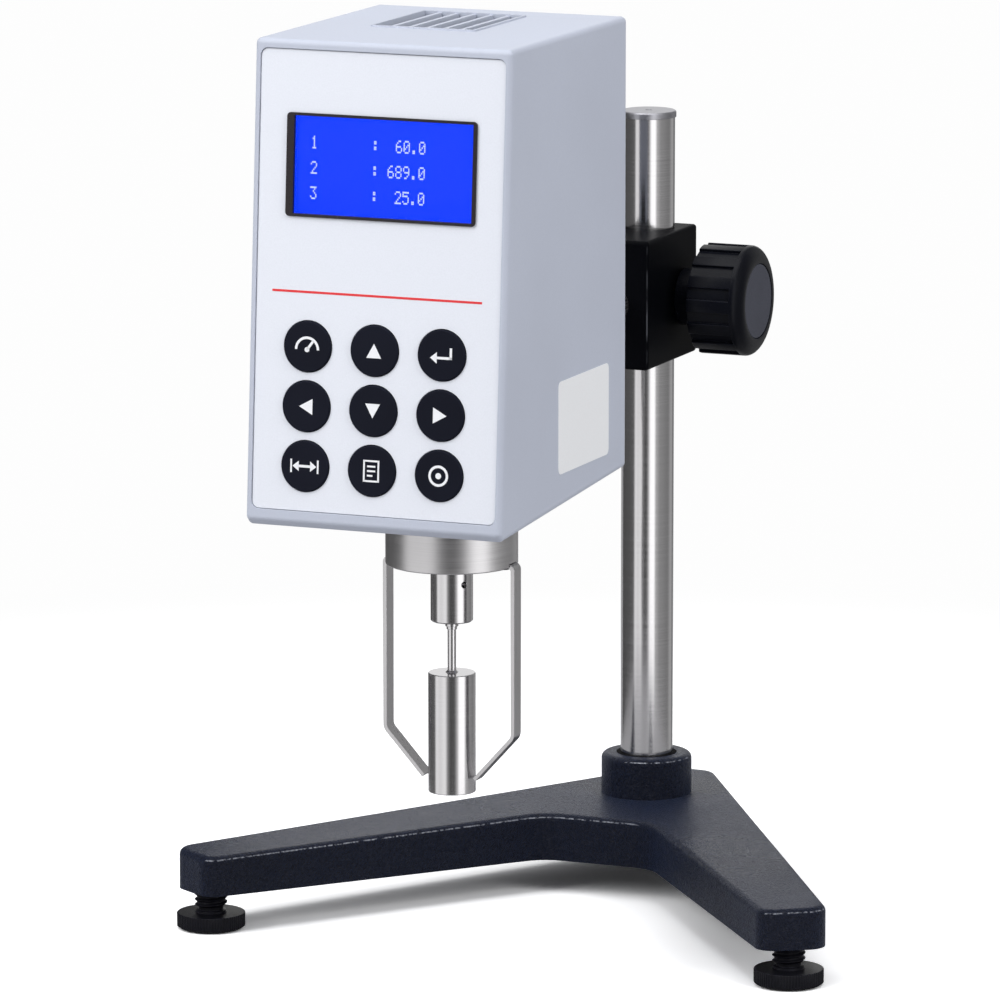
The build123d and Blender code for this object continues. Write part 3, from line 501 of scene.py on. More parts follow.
def painted(name, colour, roughness, scale, height, grit=0.3, edge_light=2.2, edge_share=0.5,
            ridge_tone_and_painted_light=0.9, specular=0.5, sheen=0.0, dust=0.0, painted_glint=0.0, painted_glint_line=None):
    """Textured paint over metal, paler where its edges are worn, with a painted glint along rounded edges that
    face one way, and ridges coloured apart from the hollows as tone and painted highlight.
    """
    material, tree, shader = start_material(name)
    edge, soft_normal = edge_wear(tree, 0.5 * MM, edge_share)
    wrinkle = place_group(tree, wrinkle_group(), (-1100, 100), Scale=scale, Grit=grit)["Height"]
    cloud = grain(tree, (-1100, 400), Scale=14.0)
    # Painted highlight: a pale broken line on rounded edges that face one way, mixed over the paint
    line = place_group(tree, painted_glint_group(), (-1100, -600), **(painted_glint_line or {}))["Rubbed"]
    base = mix_colour(tree, (-800, 300), cloud, scaled(colour, 0.95), scaled(colour, 1.05))
    # Ridges of the texture take their own colour: a little darker as tone, or much lighter on the casting as
    # painted highlight, which leaves its hollows as painted shade
    ridged = mix_colour(tree, (-600, 300), wrinkle, base, scaled(colour, ridge_tone_and_painted_light))
    worn = mix_colour(tree, (-400, 200), edge, ridged, scaled(colour, edge_light))
    bright = mix_colour(tree, (-300, 200), mapped(tree, (-800, -600), line, target=(0.0, painted_glint)),
                        worn, PAINTED_GLINT_COLOUR)
    feed(tree, shader.inputs, {
        "Base Color": mix_colour(tree, (-200, 200), settled_dust(tree, dust), bright, PAINT_DUST),
        "Roughness": mapped(tree, (-400, 0), cloud, target=(roughness - 0.04, roughness + 0.06)),
        "Normal": bump(tree, (-400, -300), wrinkle, height, soft_normal),
        "Specular IOR Level": specular,
        "Sheen Weight": sheen,
        "Sheen Tint": SHEEN_TINT,
    })
    return material


def machined(name, colour, roughness, stretch, scale=600.0, height=0.004 * MM):
    """Bare metal with the fine lines of its making, brighter at its worn edges."""
    material, tree, shader = start_material(name)
    edge, soft_normal = edge_wear(tree, 0.3 * MM, 0.6)
    lines = grain(tree, (-1100, 100), Scale=scale, Stretch=stretch, Detail=4.0)
    cloud = grain(tree, (-1100, 400), Scale=34.0)
    lined = mix_colour(tree, (-800, 300), lines, scaled(colour, 0.86), scaled(colour, 1.06))
    hazed = mix_colour(tree, (-600, 300), cloud, lined, scaled(colour, 0.96))
    feed(tree, shader.inputs, {
        "Base Color": mix_colour(tree, (-400, 200), edge, hazed, scaled(colour, 1.3)),
        "Roughness": mapped(tree, (-400, 0), lines, target=(roughness - 0.05, roughness + 0.07)),
        "Normal": bump(tree, (-400, -300), lines, height, soft_normal),
        "Metallic": 1.0,
    })
    return material


def moulded(name, colour, roughness, scale=1400.0, height=0.01 * MM, edge_light=1.8, specular=0.5):
    """Moulded plastic or rubber with a fine grain, a little shinier and paler at its edges."""
    material, tree, shader = start_material(name)
    edge, soft_normal = edge_wear(tree, 0.35 * MM, 0.5)
    fine = grain(tree, (-1100, 100), Scale=scale)
    cloud = grain(tree, (-1100, 400), Scale=40.0)
    base = mix_colour(tree, (-800, 300), cloud, scaled(colour, 0.9), scaled(colour, 1.1))
    feed(tree, shader.inputs, {
        "Base Color": mix_colour(tree, (-500, 200), edge, base, scaled(colour, edge_light)),
        "Roughness": mapped(tree, (-400, 0), fine, target=(roughness - 0.04, roughness + 0.05)),
        "Normal": bump(tree, (-400, -300), fine, height, soft_normal),
        "Specular IOR Level": specular,
    })
    return material


def printed(name, colour, roughness=0.45):
    """Ink or film with a faint unevenness."""
    material, tree, shader = start_material(name)
    fine = grain(tree, (-700, 100), Scale=1800.0)
    feed(tree, shader.inputs, {
        "Base Color": mix_colour(tree, (-400, 200), fine, scaled(colour, 0.96), colour),
        "Roughness": mapped(tree, (-400, 0), fine, target=(roughness - 0.03, roughness + 0.05)),
    })
    return material


def lit(name, colour, share_low, scale):
    """A lit surface, a little uneven, as a backlight is."""
    material, tree, shader = start_material(name)
    cloud = grain(tree, (-700, 100), Scale=scale)
    feed(tree, shader.inputs, {
        "Emission Color": mix_colour(tree, (-400, 200), cloud, scaled(colour, share_low), colour),
        "Emission Strength": 1.0,
        "Base Color": (*scaled(colour, 0.1), 1),
        "Specular IOR Level": 0.1,
    })
    return material


def clear_pane(name):
    """Anti-glare glass over the display."""
    material, tree, shader = start_material(name)
    haze = grain(tree, (-700, 100), Scale=60.0)
    feed(tree, shader.inputs, {
        "Roughness": mapped(tree, (-400, 0), haze, target=(0.0, 0.03)),
        "Base Color": (0.97, 0.98, 1.0, 1),
        "Transmission Weight": 1.0,
        "IOR": 1.12,
    })
    return material


def circuit_board(name, colour):
    """Board lacquer with paler copper runs under it."""
    material, tree, shader = start_material(name)
    runs = add_node(tree, "ShaderNodeTexBrick", (-750, 200), {
        "Vector": own_place(tree, (-1000, 200)), "Scale": 160, "Mortar Size": 0.06, "Color1": (*colour, 1),
        "Color2": (*scaled(colour, 0.8), 1), "Mortar": (*scaled(colour, 1.9), 1)})
    fine = grain(tree, (-700, -100), Scale=700.0)
    feed(tree, shader.inputs, {
        "Base Color": runs.outputs["Color"],
        "Roughness": mapped(tree, (-400, 0), fine, target=(0.25, 0.4)),
    })
    return material


# How grain is scaled along each axis: little along the lines, more across them
ALONG_X = (0.03, 1.0, 1.0)
ALONG_Z = (1.0, 1.0, 0.03)
TURNED_ABOUT_Z = (0.04, 0.04, 6.0)
TURNED_ABOUT_X = (6.0, 0.04, 0.04)
EVEN = (1.0, 1.0, 1.0)


def finish_makers():
    """How each material slot is finished."""
    colours = bpy.context.scene.viscometer_colours
    steel = tuple(colours.steel)
    return {
        # Casting: the pale broken line along its rounded top edges that face the front right is a painted glint
        "casting_paint": lambda name: painted(
            name, tuple(colours.casting), 0.26, 600.0, 0.7 * MM, edge_light=6.0, edge_share=0.4,
            # ridges painted over twice as light as the hollows: painted highlight on the ridges, painted shade
            # in the hollows
            ridge_tone_and_painted_light=2.3, specular=0.15, sheen=0.07, dust=0.01, painted_glint=0.6,
            painted_glint_line={"Toward": (0.7, -0.714, 0), "Start": 0.55, "Rise": 0.5, "Width": 0.14}),
        "housing_paint": lambda name: painted(
            name, tuple(colours.housing), 0.5, 1500.0, 0.012 * MM, grit=0.6, edge_light=1.25, specular=0.35),
        # Clamp: the thin pale line down its rounded upright edge that faces the front right is a painted glint
        "clamp_paint": lambda name: painted(
            name, tuple(colours.clamp), 0.4, 1700.0, 0.012 * MM, grit=0.6, edge_light=12.0, specular=0.02,
            painted_glint=0.11, painted_glint_line={"Toward": (0.707, -0.707, 0), "Start": 0.978, "Rise": 0, "Width": 0.5,
                                      "Breakup": 90.0}),
        "dark_steel": lambda name: painted(
            name, (0.005, 0.005, 0.0075), 0.34, 1800.0, 0.01 * MM, edge_light=8.0, specular=0.12),
        "pole_steel": lambda name: machined(name, steel, 0.15, TURNED_ABOUT_Z, scale=420.0),
        "ring_steel": lambda name: machined(
            name, scaled(steel, 0.88), 0.34, TURNED_ABOUT_Z, scale=520.0, height=0.0015 * MM),
        "rotor_steel": lambda name: machined(name, steel, 0.15, TURNED_ABOUT_Z, scale=520.0),
        "guard_steel": lambda name: machined(name, scaled(steel, 0.84), 0.3, ALONG_Z, scale=900.0),
        "cap_aluminium": lambda name: machined(name, (0.36, 0.36, 0.39), 0.34, EVEN, scale=900.0),
        "rod_steel": lambda name: machined(name, steel, 0.28, TURNED_ABOUT_Z),
        "clamp_brass": lambda name: machined(name, (0.62, 0.42, 0.16), 0.3, TURNED_ABOUT_X),
        "port_steel": lambda name: machined(name, scaled(steel, 1.05), 0.3, EVEN),
        "plate_aluminium": lambda name: machined(name, (0.62, 0.62, 0.64), 0.36, ALONG_X),
        "bracket_steel": lambda name: machined(name, scaled(steel, 0.8), 0.38, ALONG_Z),
        "motor_case": lambda name: machined(name, scaled(steel, 0.7), 0.36, TURNED_ABOUT_Z),
        "bush_bronze": lambda name: machined(name, (0.50, 0.28, 0.11), 0.36, TURNED_ABOUT_Z),
        "spring_bronze": lambda name: machined(name, (0.60, 0.33, 0.16), 0.26, EVEN),
        # Near-black for the ring of painted shadow round the pole
        "seat_black": lambda name: moulded(name, (0.003, 0.003, 0.004), 0.8, specular=0.05),
        "pad_rubber": lambda name: moulded(name, (0.012, 0.012, 0.012), 0.75, specular=0.3),
        "knob_plastic": lambda name: moulded(name, tuple(colours.knob), 0.32, edge_light=8.0, specular=0.1),
        "knob_face": lambda name: moulded(name, (0.046, 0.049, 0.068), 0.5, scale=2200.0, specular=0.2),
        "display_black": lambda name: moulded(name, (0.008, 0.004, 0.006), 0.3, edge_light=6.0, specular=0.3),
        "key_black": lambda name: moulded(
            name, tuple(colours.key), 0.42, height=0.006 * MM, edge_light=5.0, specular=0.05),
        "fitting_black": lambda name: moulded(name, (0.008, 0.008, 0.009), 0.42, edge_light=4.0, specular=0.3),
        "panel_white": lambda name: printed(name, tuple(colours.panel)),
        "display_glass": clear_pane,
        "display_blue": lambda name: lit(name, tuple(colours.screen), 0.9, 12.0),
        "board_green": lambda name: circuit_board(name, (0.008, 0.09, 0.035)),
        "numeral_white": lambda name: lit(name, tuple(colours.numeral), 0.92, 900.0),
        "mark_white": lambda name: printed(name, (0.86, 0.87, 0.90)),
        "line_red": lambda name: printed(name, tuple(colours.line)),
        "plate_white": lambda name: printed(name, (0.93, 0.94, 0.96), roughness=0.32),
    }


def finish(name):
    """The material of a finish, made the first time it is asked for."""
    full_name = f"{name}_finish"
    if full_name not in bpy.data.materials:
        return finish_makers()[name](full_name)
    return bpy.data.materials[full_name]


def dress(material_name, *node_names):
    """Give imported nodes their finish."""
    for node_name in node_names:
        data = nodes[node_name].data
        data.materials.clear()
        data.materials.append(finish(material_name))


# ---------------------------------------------------------------- operators

class VISCOMETER_OT_stage(bpy.types.Operator):
    """Make the floor, the lamps, the cards that darken the metal's reflections and the camera"""

    bl_idname = "viscometer.stage"
    bl_label = "Stage"

    def execute(self, context):
        studio = context.scene.viscometer_studio
        context.scene.view_settings.view_transform = "Standard"
        self.make_camera(studio)
        self.make_world(studio)
        self.make_floor(studio)
        self.make_lamps(studio)
        self.make_cards(studio)
        return {"FINISHED"}

    def make_camera(self, studio):
        """The camera at the front right, a little above the object."""
        data = bpy.data.cameras.new("camera")
        data.lens = studio.lens
        data.sensor_width = 36
        data.clip_end = 100
        camera = bpy.data.objects.new("camera", data)
        camera.location = studio.camera_place
        camera.rotation_euler = (math.pi / 2 - studio.pitch, 0, studio.azimuth)
        bpy.context.scene.collection.objects.link(camera)
        bpy.context.scene.camera = camera

    def background_rays(self, tree):
        """Factor that is 1 for the rays that show the background."""
        rays = add_node(tree, "ShaderNodeLightPath", (-900, 300)).outputs
        seen = calculated(tree, (-650, 300), "MAXIMUM", rays["Is Camera Ray"], rays["Is Glossy Ray"])
        return calculated(tree, (-450, 300), "MAXIMUM", seen, rays["Is Transmission Ray"])

    def make_world(self, studio):
        """White where it is seen, and an even light on the object."""
        world = bpy.data.worlds.new("studio")
        world.use_nodes = True
        tree = world.node_tree
        ambient = tree.nodes["Background"]
        feed(tree, ambient.inputs, {"Color": (0.97, 0.98, 1.0, 1), "Strength": studio.ambient})
        white = add_node(tree, "ShaderNodeBackground", (-200, 100), {"Color": (1, 1, 1, 1)})
        mix = add_node(tree, "ShaderNodeMixShader", (100, 200), {
            "Fac": self.background_rays(tree), 1: ambient.outputs["Background"],
            2: white.outputs["Background"]})
        feed(tree, tree.nodes["World Output"].inputs, {"Surface": mix.outputs["Shader"]})
        bpy.context.scene.world = world

    def make_floor(self, studio):
        """A round pale floor that shows the shadow near the object and fades to white round it."""
        near, far = 0.30, 0.75
        material, tree, shader = start_material("floor_white")
        seen = add_node(tree, "ShaderNodeLightPath", (-900, 400)).outputs["Is Camera Ray"]
        feed(tree, shader.inputs, {
            "Base Color": mix_colour(tree, (-200, 400), seen, (0.45, 0.45, 0.46), (1.4, 1.4, 1.41)),
            "Roughness": 0.9,
            "Specular IOR Level": 0.1,
        })
        reach = add_node(tree, "ShaderNodeVectorMath", (-650, 0), {0: own_place(tree, (-900, 0))},
                         operation="LENGTH")
        fade = mapped(tree, (-450, 0), reach.outputs["Value"], (near, far), interpolation_type="SMOOTHSTEP")
        white = add_node(tree, "ShaderNodeEmission", (-50, -100), {"Color": (0.985, 0.985, 0.985, 1)})
        mix = add_node(tree, "ShaderNodeMixShader", (300, 200), {
            "Fac": calculated(tree, (-250, 150), "MULTIPLY", seen, fade), 1: shader.outputs["BSDF"],
            2: white.outputs["Emission"]})
        feed(tree, tree.nodes["Material Output"].inputs, {"Surface": mix.outputs["Shader"]})
        mesh = bmesh.new()
        outline = arc((0, 0), studio.floor_radius, 0, 63 / 64, 63)
        mesh.faces.new([mesh.verts.new((x, y, 0)) for x, y in outline])
        new_piece("floor", mesh, material, None)

    def make_lamps(self, studio):
        """Three soft boxes, turned to the middle of the object."""
        target = Vector((0, 0, 0.2))
        lamps = (("key_lamp", studio.key_lamp, studio.azimuth - math.radians(62), 34, 2.5, (1.2, 1.8)),
                 ("fill_lamp", studio.fill_lamp, studio.azimuth + math.radians(50), 30, 2.5, (1.0, 1.8)),
                 ("top_lamp", studio.top_lamp, studio.azimuth - math.radians(30), 78, 3.0, (2.5, 2.5)))
        for name, power, azimuth, height, distance, size in lamps:
            data = bpy.data.lights.new(name, "AREA")
            data.shape = "RECTANGLE"
            data.size, data.size_y = size
            data.energy = power
            rise = math.radians(height)
            away = Vector((math.sin(azimuth) * math.cos(rise), -math.cos(azimuth) * math.cos(rise),
                           math.sin(rise)))
            lamp = bpy.data.objects.new(name, data)
            lamp.location = target + away * distance
            lamp.rotation_euler = away.to_track_quat("Z", "Y").to_euler()
            bpy.context.scene.collection.objects.link(lamp)

    def make_cards(self, studio):
        """An upright ring that only reflections show, dark with soft white strips, as round metal is lit.

        Each strip is an angle from the camera's side, in degrees, and a brightness.
        """
        radius, height, opening = 0.33, 0.75, 52
        strips = ((-154, 0.10), (-115, 0.12), (-77, 0.14), (-66, 1.2), (-49, 1.05), (-30, 1.25), (-20, 0.3),
                  (-12, 0.1), (3, 0.12), (12, 0.55), (23, 1.75), (44, 1.8), (54, 0.6), (77, 0.36), (117, 0.28),
                  (133, 0.5), (154, 0.2))
        material, tree, shader = start_material("card_strips")
        opposite = add_node(tree, "ShaderNodeVectorMath", (-900, 0),
                            {0: own_place(tree, (-1000, 0)), "Scale": -1.0}, operation="SCALE")
        round_place = add_node(tree, "ShaderNodeTexGradient", (-800, 0),
                               {"Vector": opposite.outputs["Vector"]}, gradient_type="RADIAL")
        ramp = add_node(tree, "ShaderNodeValToRGB", (-500, 0), {"Fac": round_place.outputs["Fac"]})
        ramp.color_ramp.interpolation = "EASE"
        feed(tree, shader.inputs, {
            "Base Color": (0, 0, 0, 1),
            "Specular IOR Level": 0.0,
            "Emission Strength": 2.0,
            "Emission Color": ramp.outputs["Color"],
        })
        stops = ramp.color_ramp.elements
        for index, (angle, brightness) in enumerate(strips):
            position = 0.5 + (angle - opening / 2) / 360
            stop = stops[index] if index < 2 else stops.new(position)
            stop.position = position
            stop.color = (brightness / 2, brightness / 2, brightness / 2, 1)
        mesh = bmesh.new()
        points = arc((0, 0), radius, 0, 1 - opening / 360, 72)
        lower = [mesh.verts.new((x, y, 0)) for x, y in points]
        upper = [mesh.verts.new((x, y, height)) for x, y in points]
        for index in range(len(points) - 1):
            mesh.faces.new((lower[index], lower[index + 1], upper[index + 1], upper[index]))
        card = new_piece("card_strips", mesh, material, None)
        card.rotation_euler.z = studio.azimuth + math.radians(90 + opening / 2)
        for rays in ("camera", "diffuse", "transmission", "shadow"):
            setattr(card, f"visible_{rays}", False)


class VISCOMETER_OT_base(bpy.types.Operator):
    """Finish the casting, the pole and its cap, and lay a dark ring round the pole as a painted shadow of the
    gap at the top of its bore
    """

    bl_idname = "viscometer.base"
    bl_label = "Base and pole"

    def execute(self, context):
        dress("casting_paint", "base_casting")
        dress("pole_steel", "pole")
        dress("cap_aluminium", "pole_cap")
        dress("dark_steel", "pole_bolt")
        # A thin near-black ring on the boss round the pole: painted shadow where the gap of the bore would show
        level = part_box("base_casting")[1].z
        pole_r = (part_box("pole")[1].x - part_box("pole")[0].x) / 2
        inner, outer = pole_r + 0.05 * MM, pole_r + 1.7 * MM
        lower, upper = level - 0.02 * MM, level + 0.05 * MM
        profile = [(inner, lower), (outer, lower), (outer, upper), (inner, upper), (inner, lower)]
        new_piece("pole_gap_shadow", turned_mesh(profile, upright("pole"), 96), finish("seat_black"), "stand",
                  math.radians(35))
        return {"FINISHED"}


class VISCOMETER_OT_feet(bpy.types.Operator):
    """Make the levelling screws with ridged discs and threaded shanks, and finish their pads"""

    bl_idname = "viscometer.feet"
    bl_label = "Levelling feet"

    def execute(self, context):
        sizes = context.scene.viscometer_sizes
        for side in SIDES:
            node = f"foot_screw_{side}"
            low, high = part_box(node)
            piece = new_piece(f"{node}_threaded", self.screw_mesh(node, low, high, sizes),
                              finish("dark_steel"), f"foot_{side}", math.radians(35))
            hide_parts(node)
            dress("pad_rubber", f"foot_pad_{side}")
        return {"FINISHED"}

    def screw_mesh(self, node, low, high, sizes):
        """Disc with ridges round it, a collar, a narrow neck and a helical thread up to the top of the node."""
        disc_r, disc_low = (high.x - low.x) / 2, low.z
        disc_top = disc_low + 6.1 * MM
        recess, rim_w, ridge_depth = 1.5 * MM, 2.9 * MM, 0.38 * MM
        neck_r, ring_r, thread_r, depth = 5.0 * MM, 6.2 * MM, 6.7 * MM, 0.9 * MM
        thread_low, thread_top = disc_top + 3.0 * MM, high.z
        pitch, ridges = sizes.foot_thread_pitch, sizes.foot_ridges
        profile = [(0, disc_low + recess), (disc_r - rim_w, disc_low + recess), (disc_r - rim_w, disc_low),
                   (disc_r - 0.9 * MM, disc_low), (disc_r, disc_low + 0.6 * MM),
                   (disc_r, disc_top - 0.25 * MM), (disc_r - 0.3 * MM, disc_top),
                   (ring_r + 0.4 * MM, disc_top), (ring_r, disc_top + 0.3 * MM),
                   (ring_r, disc_top + 0.9 * MM), (neck_r, disc_top + 1.2 * MM),
                   (neck_r, thread_low - 0.5 * MM), (neck_r + 0.4 * MM, thread_low - 0.2 * MM)]
        steps = int((thread_top - thread_low) / pitch * 8)
        for step in range(steps + 1):
            profile.append((thread_r, thread_low + (thread_top - thread_low) * step / steps))
        profile.append((0, thread_top))

        def radius_at(radius, height, angle):
            if radius == disc_r:
                return disc_r - ridge_depth * abs(math.sin(ridges * angle / 2)) ** 3
            if radius == thread_r:
                phase = ((height - thread_low) / pitch - angle / TURN) % 1
                crest = min(1.0, max(0.0, 1.6 * abs(2 * phase - 1) - 0.15))
                return thread_r - depth * crest
            return radius

        return turned_mesh(profile, upright(node), ridges * 6, radius_at)


class VISCOMETER_OT_clamp(bpy.types.Operator):
    """Finish the clamp block with its screws and make the fluted knob"""

    bl_idname = "viscometer.clamp"
    bl_label = "Clamp"

    def execute(self, context):
        dress("clamp_paint", "clamp_block")
        dress("clamp_brass", "clamp_pad")
        dress("dark_steel", "arm_set_screws", "clamp_screw")
        dress("knob_face", "knob_cap")
        knob = new_piece("knob_fluted", self.knob_mesh(context.scene.viscometer_sizes), finish("knob_plastic"),
                         "clamp_handle", math.radians(28))
        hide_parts("clamp_knob")
        return {"FINISHED"}

    def knob_mesh(self, sizes):
        """Hub, back, fluted rim, smooth shoulder and the ring that holds the face disc."""
        low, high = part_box("clamp_knob")
        face_low, face_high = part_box("knob_cap")
        rim = (high.z - low.z) / 2
        cap_r = (face_high.z - face_low.z) / 2 + 0.1 * MM
        hub, back, flute_end, face = low.x, low.x + 9.6 * MM, high.x - 5.0 * MM, high.x
        seat, shoulder = face_low.x, flute_end + 0.4 * MM
        profile = [(0, hub), (11.4 * MM, hub), (11.9 * MM, hub + 0.5 * MM), (11.9 * MM, back - 0.5 * MM),
                   (12.4 * MM, back), (rim - 0.5 * MM, back), (rim - 0.15 * MM, back + 0.15 * MM),
                   (rim, back + 0.5 * MM), (rim, flute_end), (rim - 0.01 * MM, flute_end + 0.02 * MM)]
        for step in range(11):
            turned = TURN / 4 * step / 10
            profile.append((cap_r + 0.5 * MM + (rim - cap_r - 0.52 * MM) * math.cos(turned),
                            shoulder + (face - shoulder) * math.sin(turned)))
        profile += [(cap_r, face - 0.1 * MM), (cap_r, seat), (0, seat)]
        flute_half, depth = 0.25, 1.3 * MM
        shares = (-0.5, -0.3, -flute_half - 0.02, -flute_half - 0.005, -flute_half + 0.005, -flute_half + 0.03,
                  -0.1, 0.1, flute_half - 0.03, flute_half - 0.005, flute_half + 0.005, flute_half + 0.02, 0.3)
        pitch = TURN / sizes.knob_flutes
        angles = [pitch * (flute + share) for flute in range(sizes.knob_flutes) for share in shares]

        def radius_at(radius, height, angle):
            if radius <= rim - depth or height > flute_end:
                return radius
            share = abs((angle / pitch + 0.5) % 1 - 0.5)
            if share < flute_half:
                return rim - depth
            return radius - 0.1 * MM * (share < flute_half + 0.01)

        along_x = Matrix.Rotation(math.pi / 2, 4, "Y")
        centre = Matrix.Translation((0, (low.y + high.y) / 2, (low.z + high.z) / 2))
        return turned_mesh(profile, centre @ along_x, 0, radius_at, angles)


class VISCOMETER_OT_arm(bpy.types.Operator):
    """Finish the rod, flange and screws that carry the head"""

    bl_idname = "viscometer.arm"
    bl_label = "Arm"

    def execute(self, context):
        dress("rod_steel", "arm_rod")
        dress("clamp_paint", "arm_flange")
        dress("dark_steel", "flange_screws")
        return {"FINISHED"}


class VISCOMETER_OT_housing(bpy.types.Operator):
    """Finish the head's shell and panels, and add the coloured line and the blank side plate"""

    bl_idname = "viscometer.housing"
    bl_label = "Housing"

    def execute(self, context):
        sizes = context.scene.viscometer_sizes
        dress("housing_paint", "housing_shell", "rear_panel")
        dress("panel_white", "front_panel")
        line_left, line_right, line_rise = -44.2 * MM, 43.3 * MM, 84.8 * MM
        level = front.level("front_panel")
        rise = extent("front_panel", front.up)[0] + line_rise
        line = strip((line_left, rise), (line_right, rise), sizes.line_width)
        new_piece("panel_line", drawn_mesh(front, [line], level, sizes.print_height),
                  finish("line_red"), "head")
        side_low, side_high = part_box("housing_shell")
        plate_back, plate_rise, plate_corner = 84.6 * MM, 35.2 * MM, 2.5 * MM
        centre = (side_low.y + plate_back, side_low.z + plate_rise)
        plate = rounded_rectangle(centre, sizes.plate_width, sizes.plate_height, plate_corner)
        new_piece("side_plate", drawn_mesh(right_side, [plate], side_high.x - 0.02 * MM, 0.25 * MM),
                  finish("plate_white"), "head")
        return {"FINISHED"}


DOT_NUMERALS = {
    "0": ("01110", "10001", "10011", "10101", "11001", "10001", "01110"),
    "1": ("00100", "01100", "00100", "00100", "00100", "00100", "01110"),
    "2": ("01110", "10001", "00001", "00010", "00100", "01000", "11111"),
    "3": ("11111", "00010", "00100", "00010", "00001", "10001", "01110"),
    "5": ("11111", "10000", "11110", "00001", "00001", "10001", "01110"),
    "6": ("00110", "01000", "10000", "11110", "10001", "10001", "01110"),
    "8": ("01110", "10001", "10001", "01110", "10001", "10001", "01110"),
    "9": ("01110", "10001", "10001", "01111", "00001", "00010", "01100"),
    ".": ("00000", "00000", "00000", "00000", "00000", "01100", "01100"),
    ":": ("00000", "01100", "01100", "00000", "01100", "01100", "00000"),
    " ": ("00000",) * 7,
}
DISPLAY_ROWS = ("1       :  60.0", "2       : 689.0", "3       :  25.0")


class VISCOMETER_OT_display(bpy.types.Operator):
    """Finish the display and light its field and its rows of numerals"""

    bl_idname = "viscometer.display"
    bl_label = "Display"

    def execute(self, context):
        sizes = context.scene.viscometer_sizes
        dress("display_black", "display_bezel")
        dress("display_glass", "display_window")
        dress("board_green", "display_module")
        window_low, window_high = extent("display_window", front.across)
        low, high = extent("display_window", front.up)
        behind = extent("display_window", front.out)[0]
        centre = ((window_low + window_high) / 2, (low + high) / 2)
        field = rounded_rectangle(centre, window_high - window_low + 0.6 * MM, high - low + 0.2 * MM, 0.3 * MM)
        new_piece("display_field", drawn_mesh(front, [field], behind - 0.4 * MM, 0.2 * MM),
                  finish("display_blue"), "head")
        new_piece("display_numerals", self.numeral_mesh(window_low, high, behind - 0.2 * MM, sizes),
                  finish("numeral_white"), "head")
        return {"FINISHED"}

    def numeral_mesh(self, left, top, level, sizes):
        """Rows of five by seven dot numerals."""
        margin, first_row, dot_share = 6.2 * MM, 8.2 * MM, 0.86
        dot_w, dot_h = sizes.dot_pitch * dot_share, sizes.dot_rise * dot_share
        outlines = []
        for row, text in enumerate(DISPLAY_ROWS):
            for column, sign in enumerate(text):
                for line, dots in enumerate(DOT_NUMERALS[sign]):
                    for place, dot in enumerate(dots):
                        if dot == "0":
                            continue
                        across = left + margin + (6 * column + place) * sizes.dot_pitch
                        up = top - first_row - row * sizes.row_pitch - line * sizes.dot_rise
                        outlines.append([(across, up), (across + dot_w, up), (across + dot_w, up + dot_h),
                                         (across, up + dot_h)])
        return drawn_mesh(front, outlines, level, 0.02 * MM)


class VISCOMETER_OT_keys(bpy.types.Operator):
    """Finish the keys and draw a plain sign on each"""

    bl_idname = "viscometer.keys"
    bl_label = "Keys"

    def execute(self, context):
        sizes = context.scene.viscometer_sizes
        dress("board_green", "key_board")
        for key in KEYS:
            node = f"key_{key}"
            dress("key_black", node)
            centre = Vector(front.centre(node))
            outlines = [[tuple(centre + Vector(point) * MM) for point in outline] for outline in self.sign(key)]
            new_piece(f"{node}_sign", drawn_mesh(front, outlines, front.level(node), sizes.print_height),
                      finish("mark_white"), f"button_{key}")
        return {"FINISHED"}

    def arrow(self, turns):
        """A solid arrowhead, turned from pointing up."""
        half, rise = 3.1, 5.6
        corners = ((-half, -rise / 2), (half, -rise / 2), (0, rise / 2))
        angle = TURN * turns
        return [(x * math.cos(angle) - y * math.sin(angle), x * math.sin(angle) + y * math.cos(angle))
                for x, y in corners]

    def sign(self, key):
        """Outlines of a key's sign, in millimetres from its centre."""
        thin, bold = 0.7, 1.0
        signs = {
            "up": [self.arrow(0)],
            "left": [self.arrow(0.25)],
            "down": [self.arrow(0.5)],
            "right": [self.arrow(0.75)],
            "speed": [arc_band((0, -1.2), 4.6, bold, 0, 0.5), strip((0, -1.2), (2.4, 2.0), bold),
                      arc((0, -1.2), 1.0, 0, 23 / 24, 23)],
            "enter": [strip((4.0, 3.0), (4.0, -1.5), bold), strip((4.5, -1.0), (-2.0, -1.0), bold),
                      [(-4.6, -1.0), (-1.8, -3.2), (-1.8, 1.2)]],
            "range": [strip((-2.6, 0), (2.6, 0), bold), [(-5.0, 0), (-2.4, -2.0), (-2.4, 2.0)],
                      [(5.0, 0), (2.4, 2.0), (2.4, -2.0)], strip((-5.6, -2.6), (-5.6, 2.6), thin),
                      strip((5.6, -2.6), (5.6, 2.6), thin)],
            "print": [strip((-3.0, 3.9), (3.0, 3.9), thin), strip((-3.0, -3.9), (3.0, -3.9), thin),
                      strip((-3.0, -4.25), (-3.0, 4.25), thin), strip((3.0, 4.25), (3.0, -4.25), thin),
                      strip((-1.7, 1.8), (1.7, 1.8), thin), strip((-1.7, 0), (1.7, 0), thin),
                      strip((-1.7, -1.8), (0.6, -1.8), thin)],
            "set": [arc_band((0, 0), 3.6, bold, 0, 0.5), arc_band((0, 0), 3.6, bold, 0.5, 1),
                    arc((0, 0), 1.2, 0, 23 / 24, 23)],
        }
        return signs[key]


class VISCOMETER_OT_rear_fittings(bpy.types.Operator):
    """Finish the inlet, switch, port and probe socket"""

    bl_idname = "viscometer.rear_fittings"
    bl_label = "Rear fittings"

    def execute(self, context):
        dress("fitting_black", "power_inlet", "switch_frame", "switch_rocker", "probe_socket")
        dress("port_steel", "data_port")
        return {"FINISHED"}


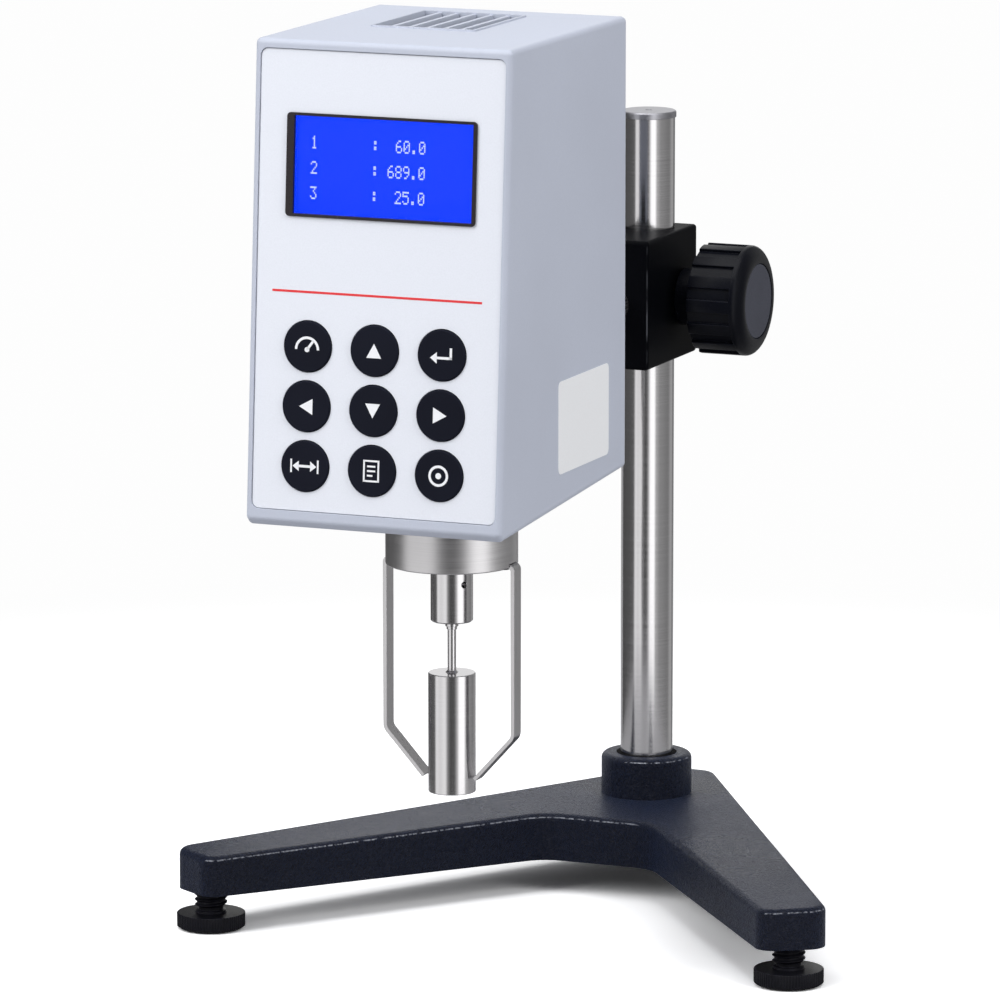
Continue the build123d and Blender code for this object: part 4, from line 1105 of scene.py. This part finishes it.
class VISCOMETER_OT_mechanism(bpy.types.Operator):
    """Finish the plates, motor, spring, discs, shafts and boards inside the head"""

    bl_idname = "viscometer.mechanism"
    bl_label = "Mechanism"

    def execute(self, context):
        dress("plate_aluminium", "lower_plate", "upper_plate", "encoder_disc", "drive_disc")
        dress("bracket_steel", "back_bracket", "pillars")
        dress("motor_case", "motor")
        dress("rod_steel", "drive_shaft", "measuring_shaft")
        dress("spring_bronze", "torsion_spring")
        dress("bush_bronze", "bearing_bush")
        dress("fitting_black", "optical_sensors")
        dress("board_green", "main_board")
        return {"FINISHED"}


class VISCOMETER_OT_spindle(bpy.types.Operator):
    """Finish the ring, the guard, the coupling nut and the rotor"""

    bl_idname = "viscometer.spindle"
    bl_label = "Ring, guard and rotor"

    def execute(self, context):
        dress("ring_steel", "lower_ring")
        dress("rotor_steel", "coupling_nut", "rotor")
        dress("guard_steel", "guard_leg_left", "guard_leg_right")
        dress("dark_steel", "guard_screws")
        return {"FINISHED"}


class VISCOMETER_PT_panel(bpy.types.Panel):
    """Sidebar panel with the settings and the pieces"""

    bl_idname = "VISCOMETER_PT_panel"
    bl_label = "Rotational Viscometer"
    bl_space_type = "VIEW_3D"
    bl_region_type = "UI"
    bl_category = "Viscometer"

    def draw(self, context):
        layout = self.layout
        for title, settings in (("Sizes", context.scene.viscometer_sizes),
                                ("Colours", context.scene.viscometer_colours),
                                ("Studio", context.scene.viscometer_studio)):
            box = layout.box()
            box.label(text=title)
            for name in settings.__annotations__:
                box.prop(settings, name)
        column = layout.column(align=True)
        for operator in OPERATORS:
            column.operator(operator.bl_idname)


SETTINGS = {
    "viscometer_sizes": ViscometerSizes,
    "viscometer_colours": ViscometerColours,
    "viscometer_studio": ViscometerStudio,
}
OPERATORS = (
    VISCOMETER_OT_stage,
    VISCOMETER_OT_base,
    VISCOMETER_OT_feet,
    VISCOMETER_OT_clamp,
    VISCOMETER_OT_arm,
    VISCOMETER_OT_housing,
    VISCOMETER_OT_display,
    VISCOMETER_OT_keys,
    VISCOMETER_OT_rear_fittings,
    VISCOMETER_OT_mechanism,
    VISCOMETER_OT_spindle,
)


def register():
    for name, group in SETTINGS.items():
        bpy.utils.register_class(group)
        setattr(bpy.types.Scene, name, bpy.props.PointerProperty(type=group))
    for operator in OPERATORS:
        bpy.utils.register_class(operator)
    bpy.utils.register_class(VISCOMETER_PT_panel)


def unregister():
    bpy.utils.unregister_class(VISCOMETER_PT_panel)
    for operator in reversed(OPERATORS):
        bpy.utils.unregister_class(operator)
    for name, group in reversed(SETTINGS.items()):
        delattr(bpy.types.Scene, name)
        bpy.utils.unregister_class(group)


def main():
    """Build everything in order."""
    register()
    for operator in OPERATORS:
        group, name = operator.bl_idname.split(".")
        getattr(getattr(bpy.ops, group), name)()


if __name__ == "__main__":
    main()
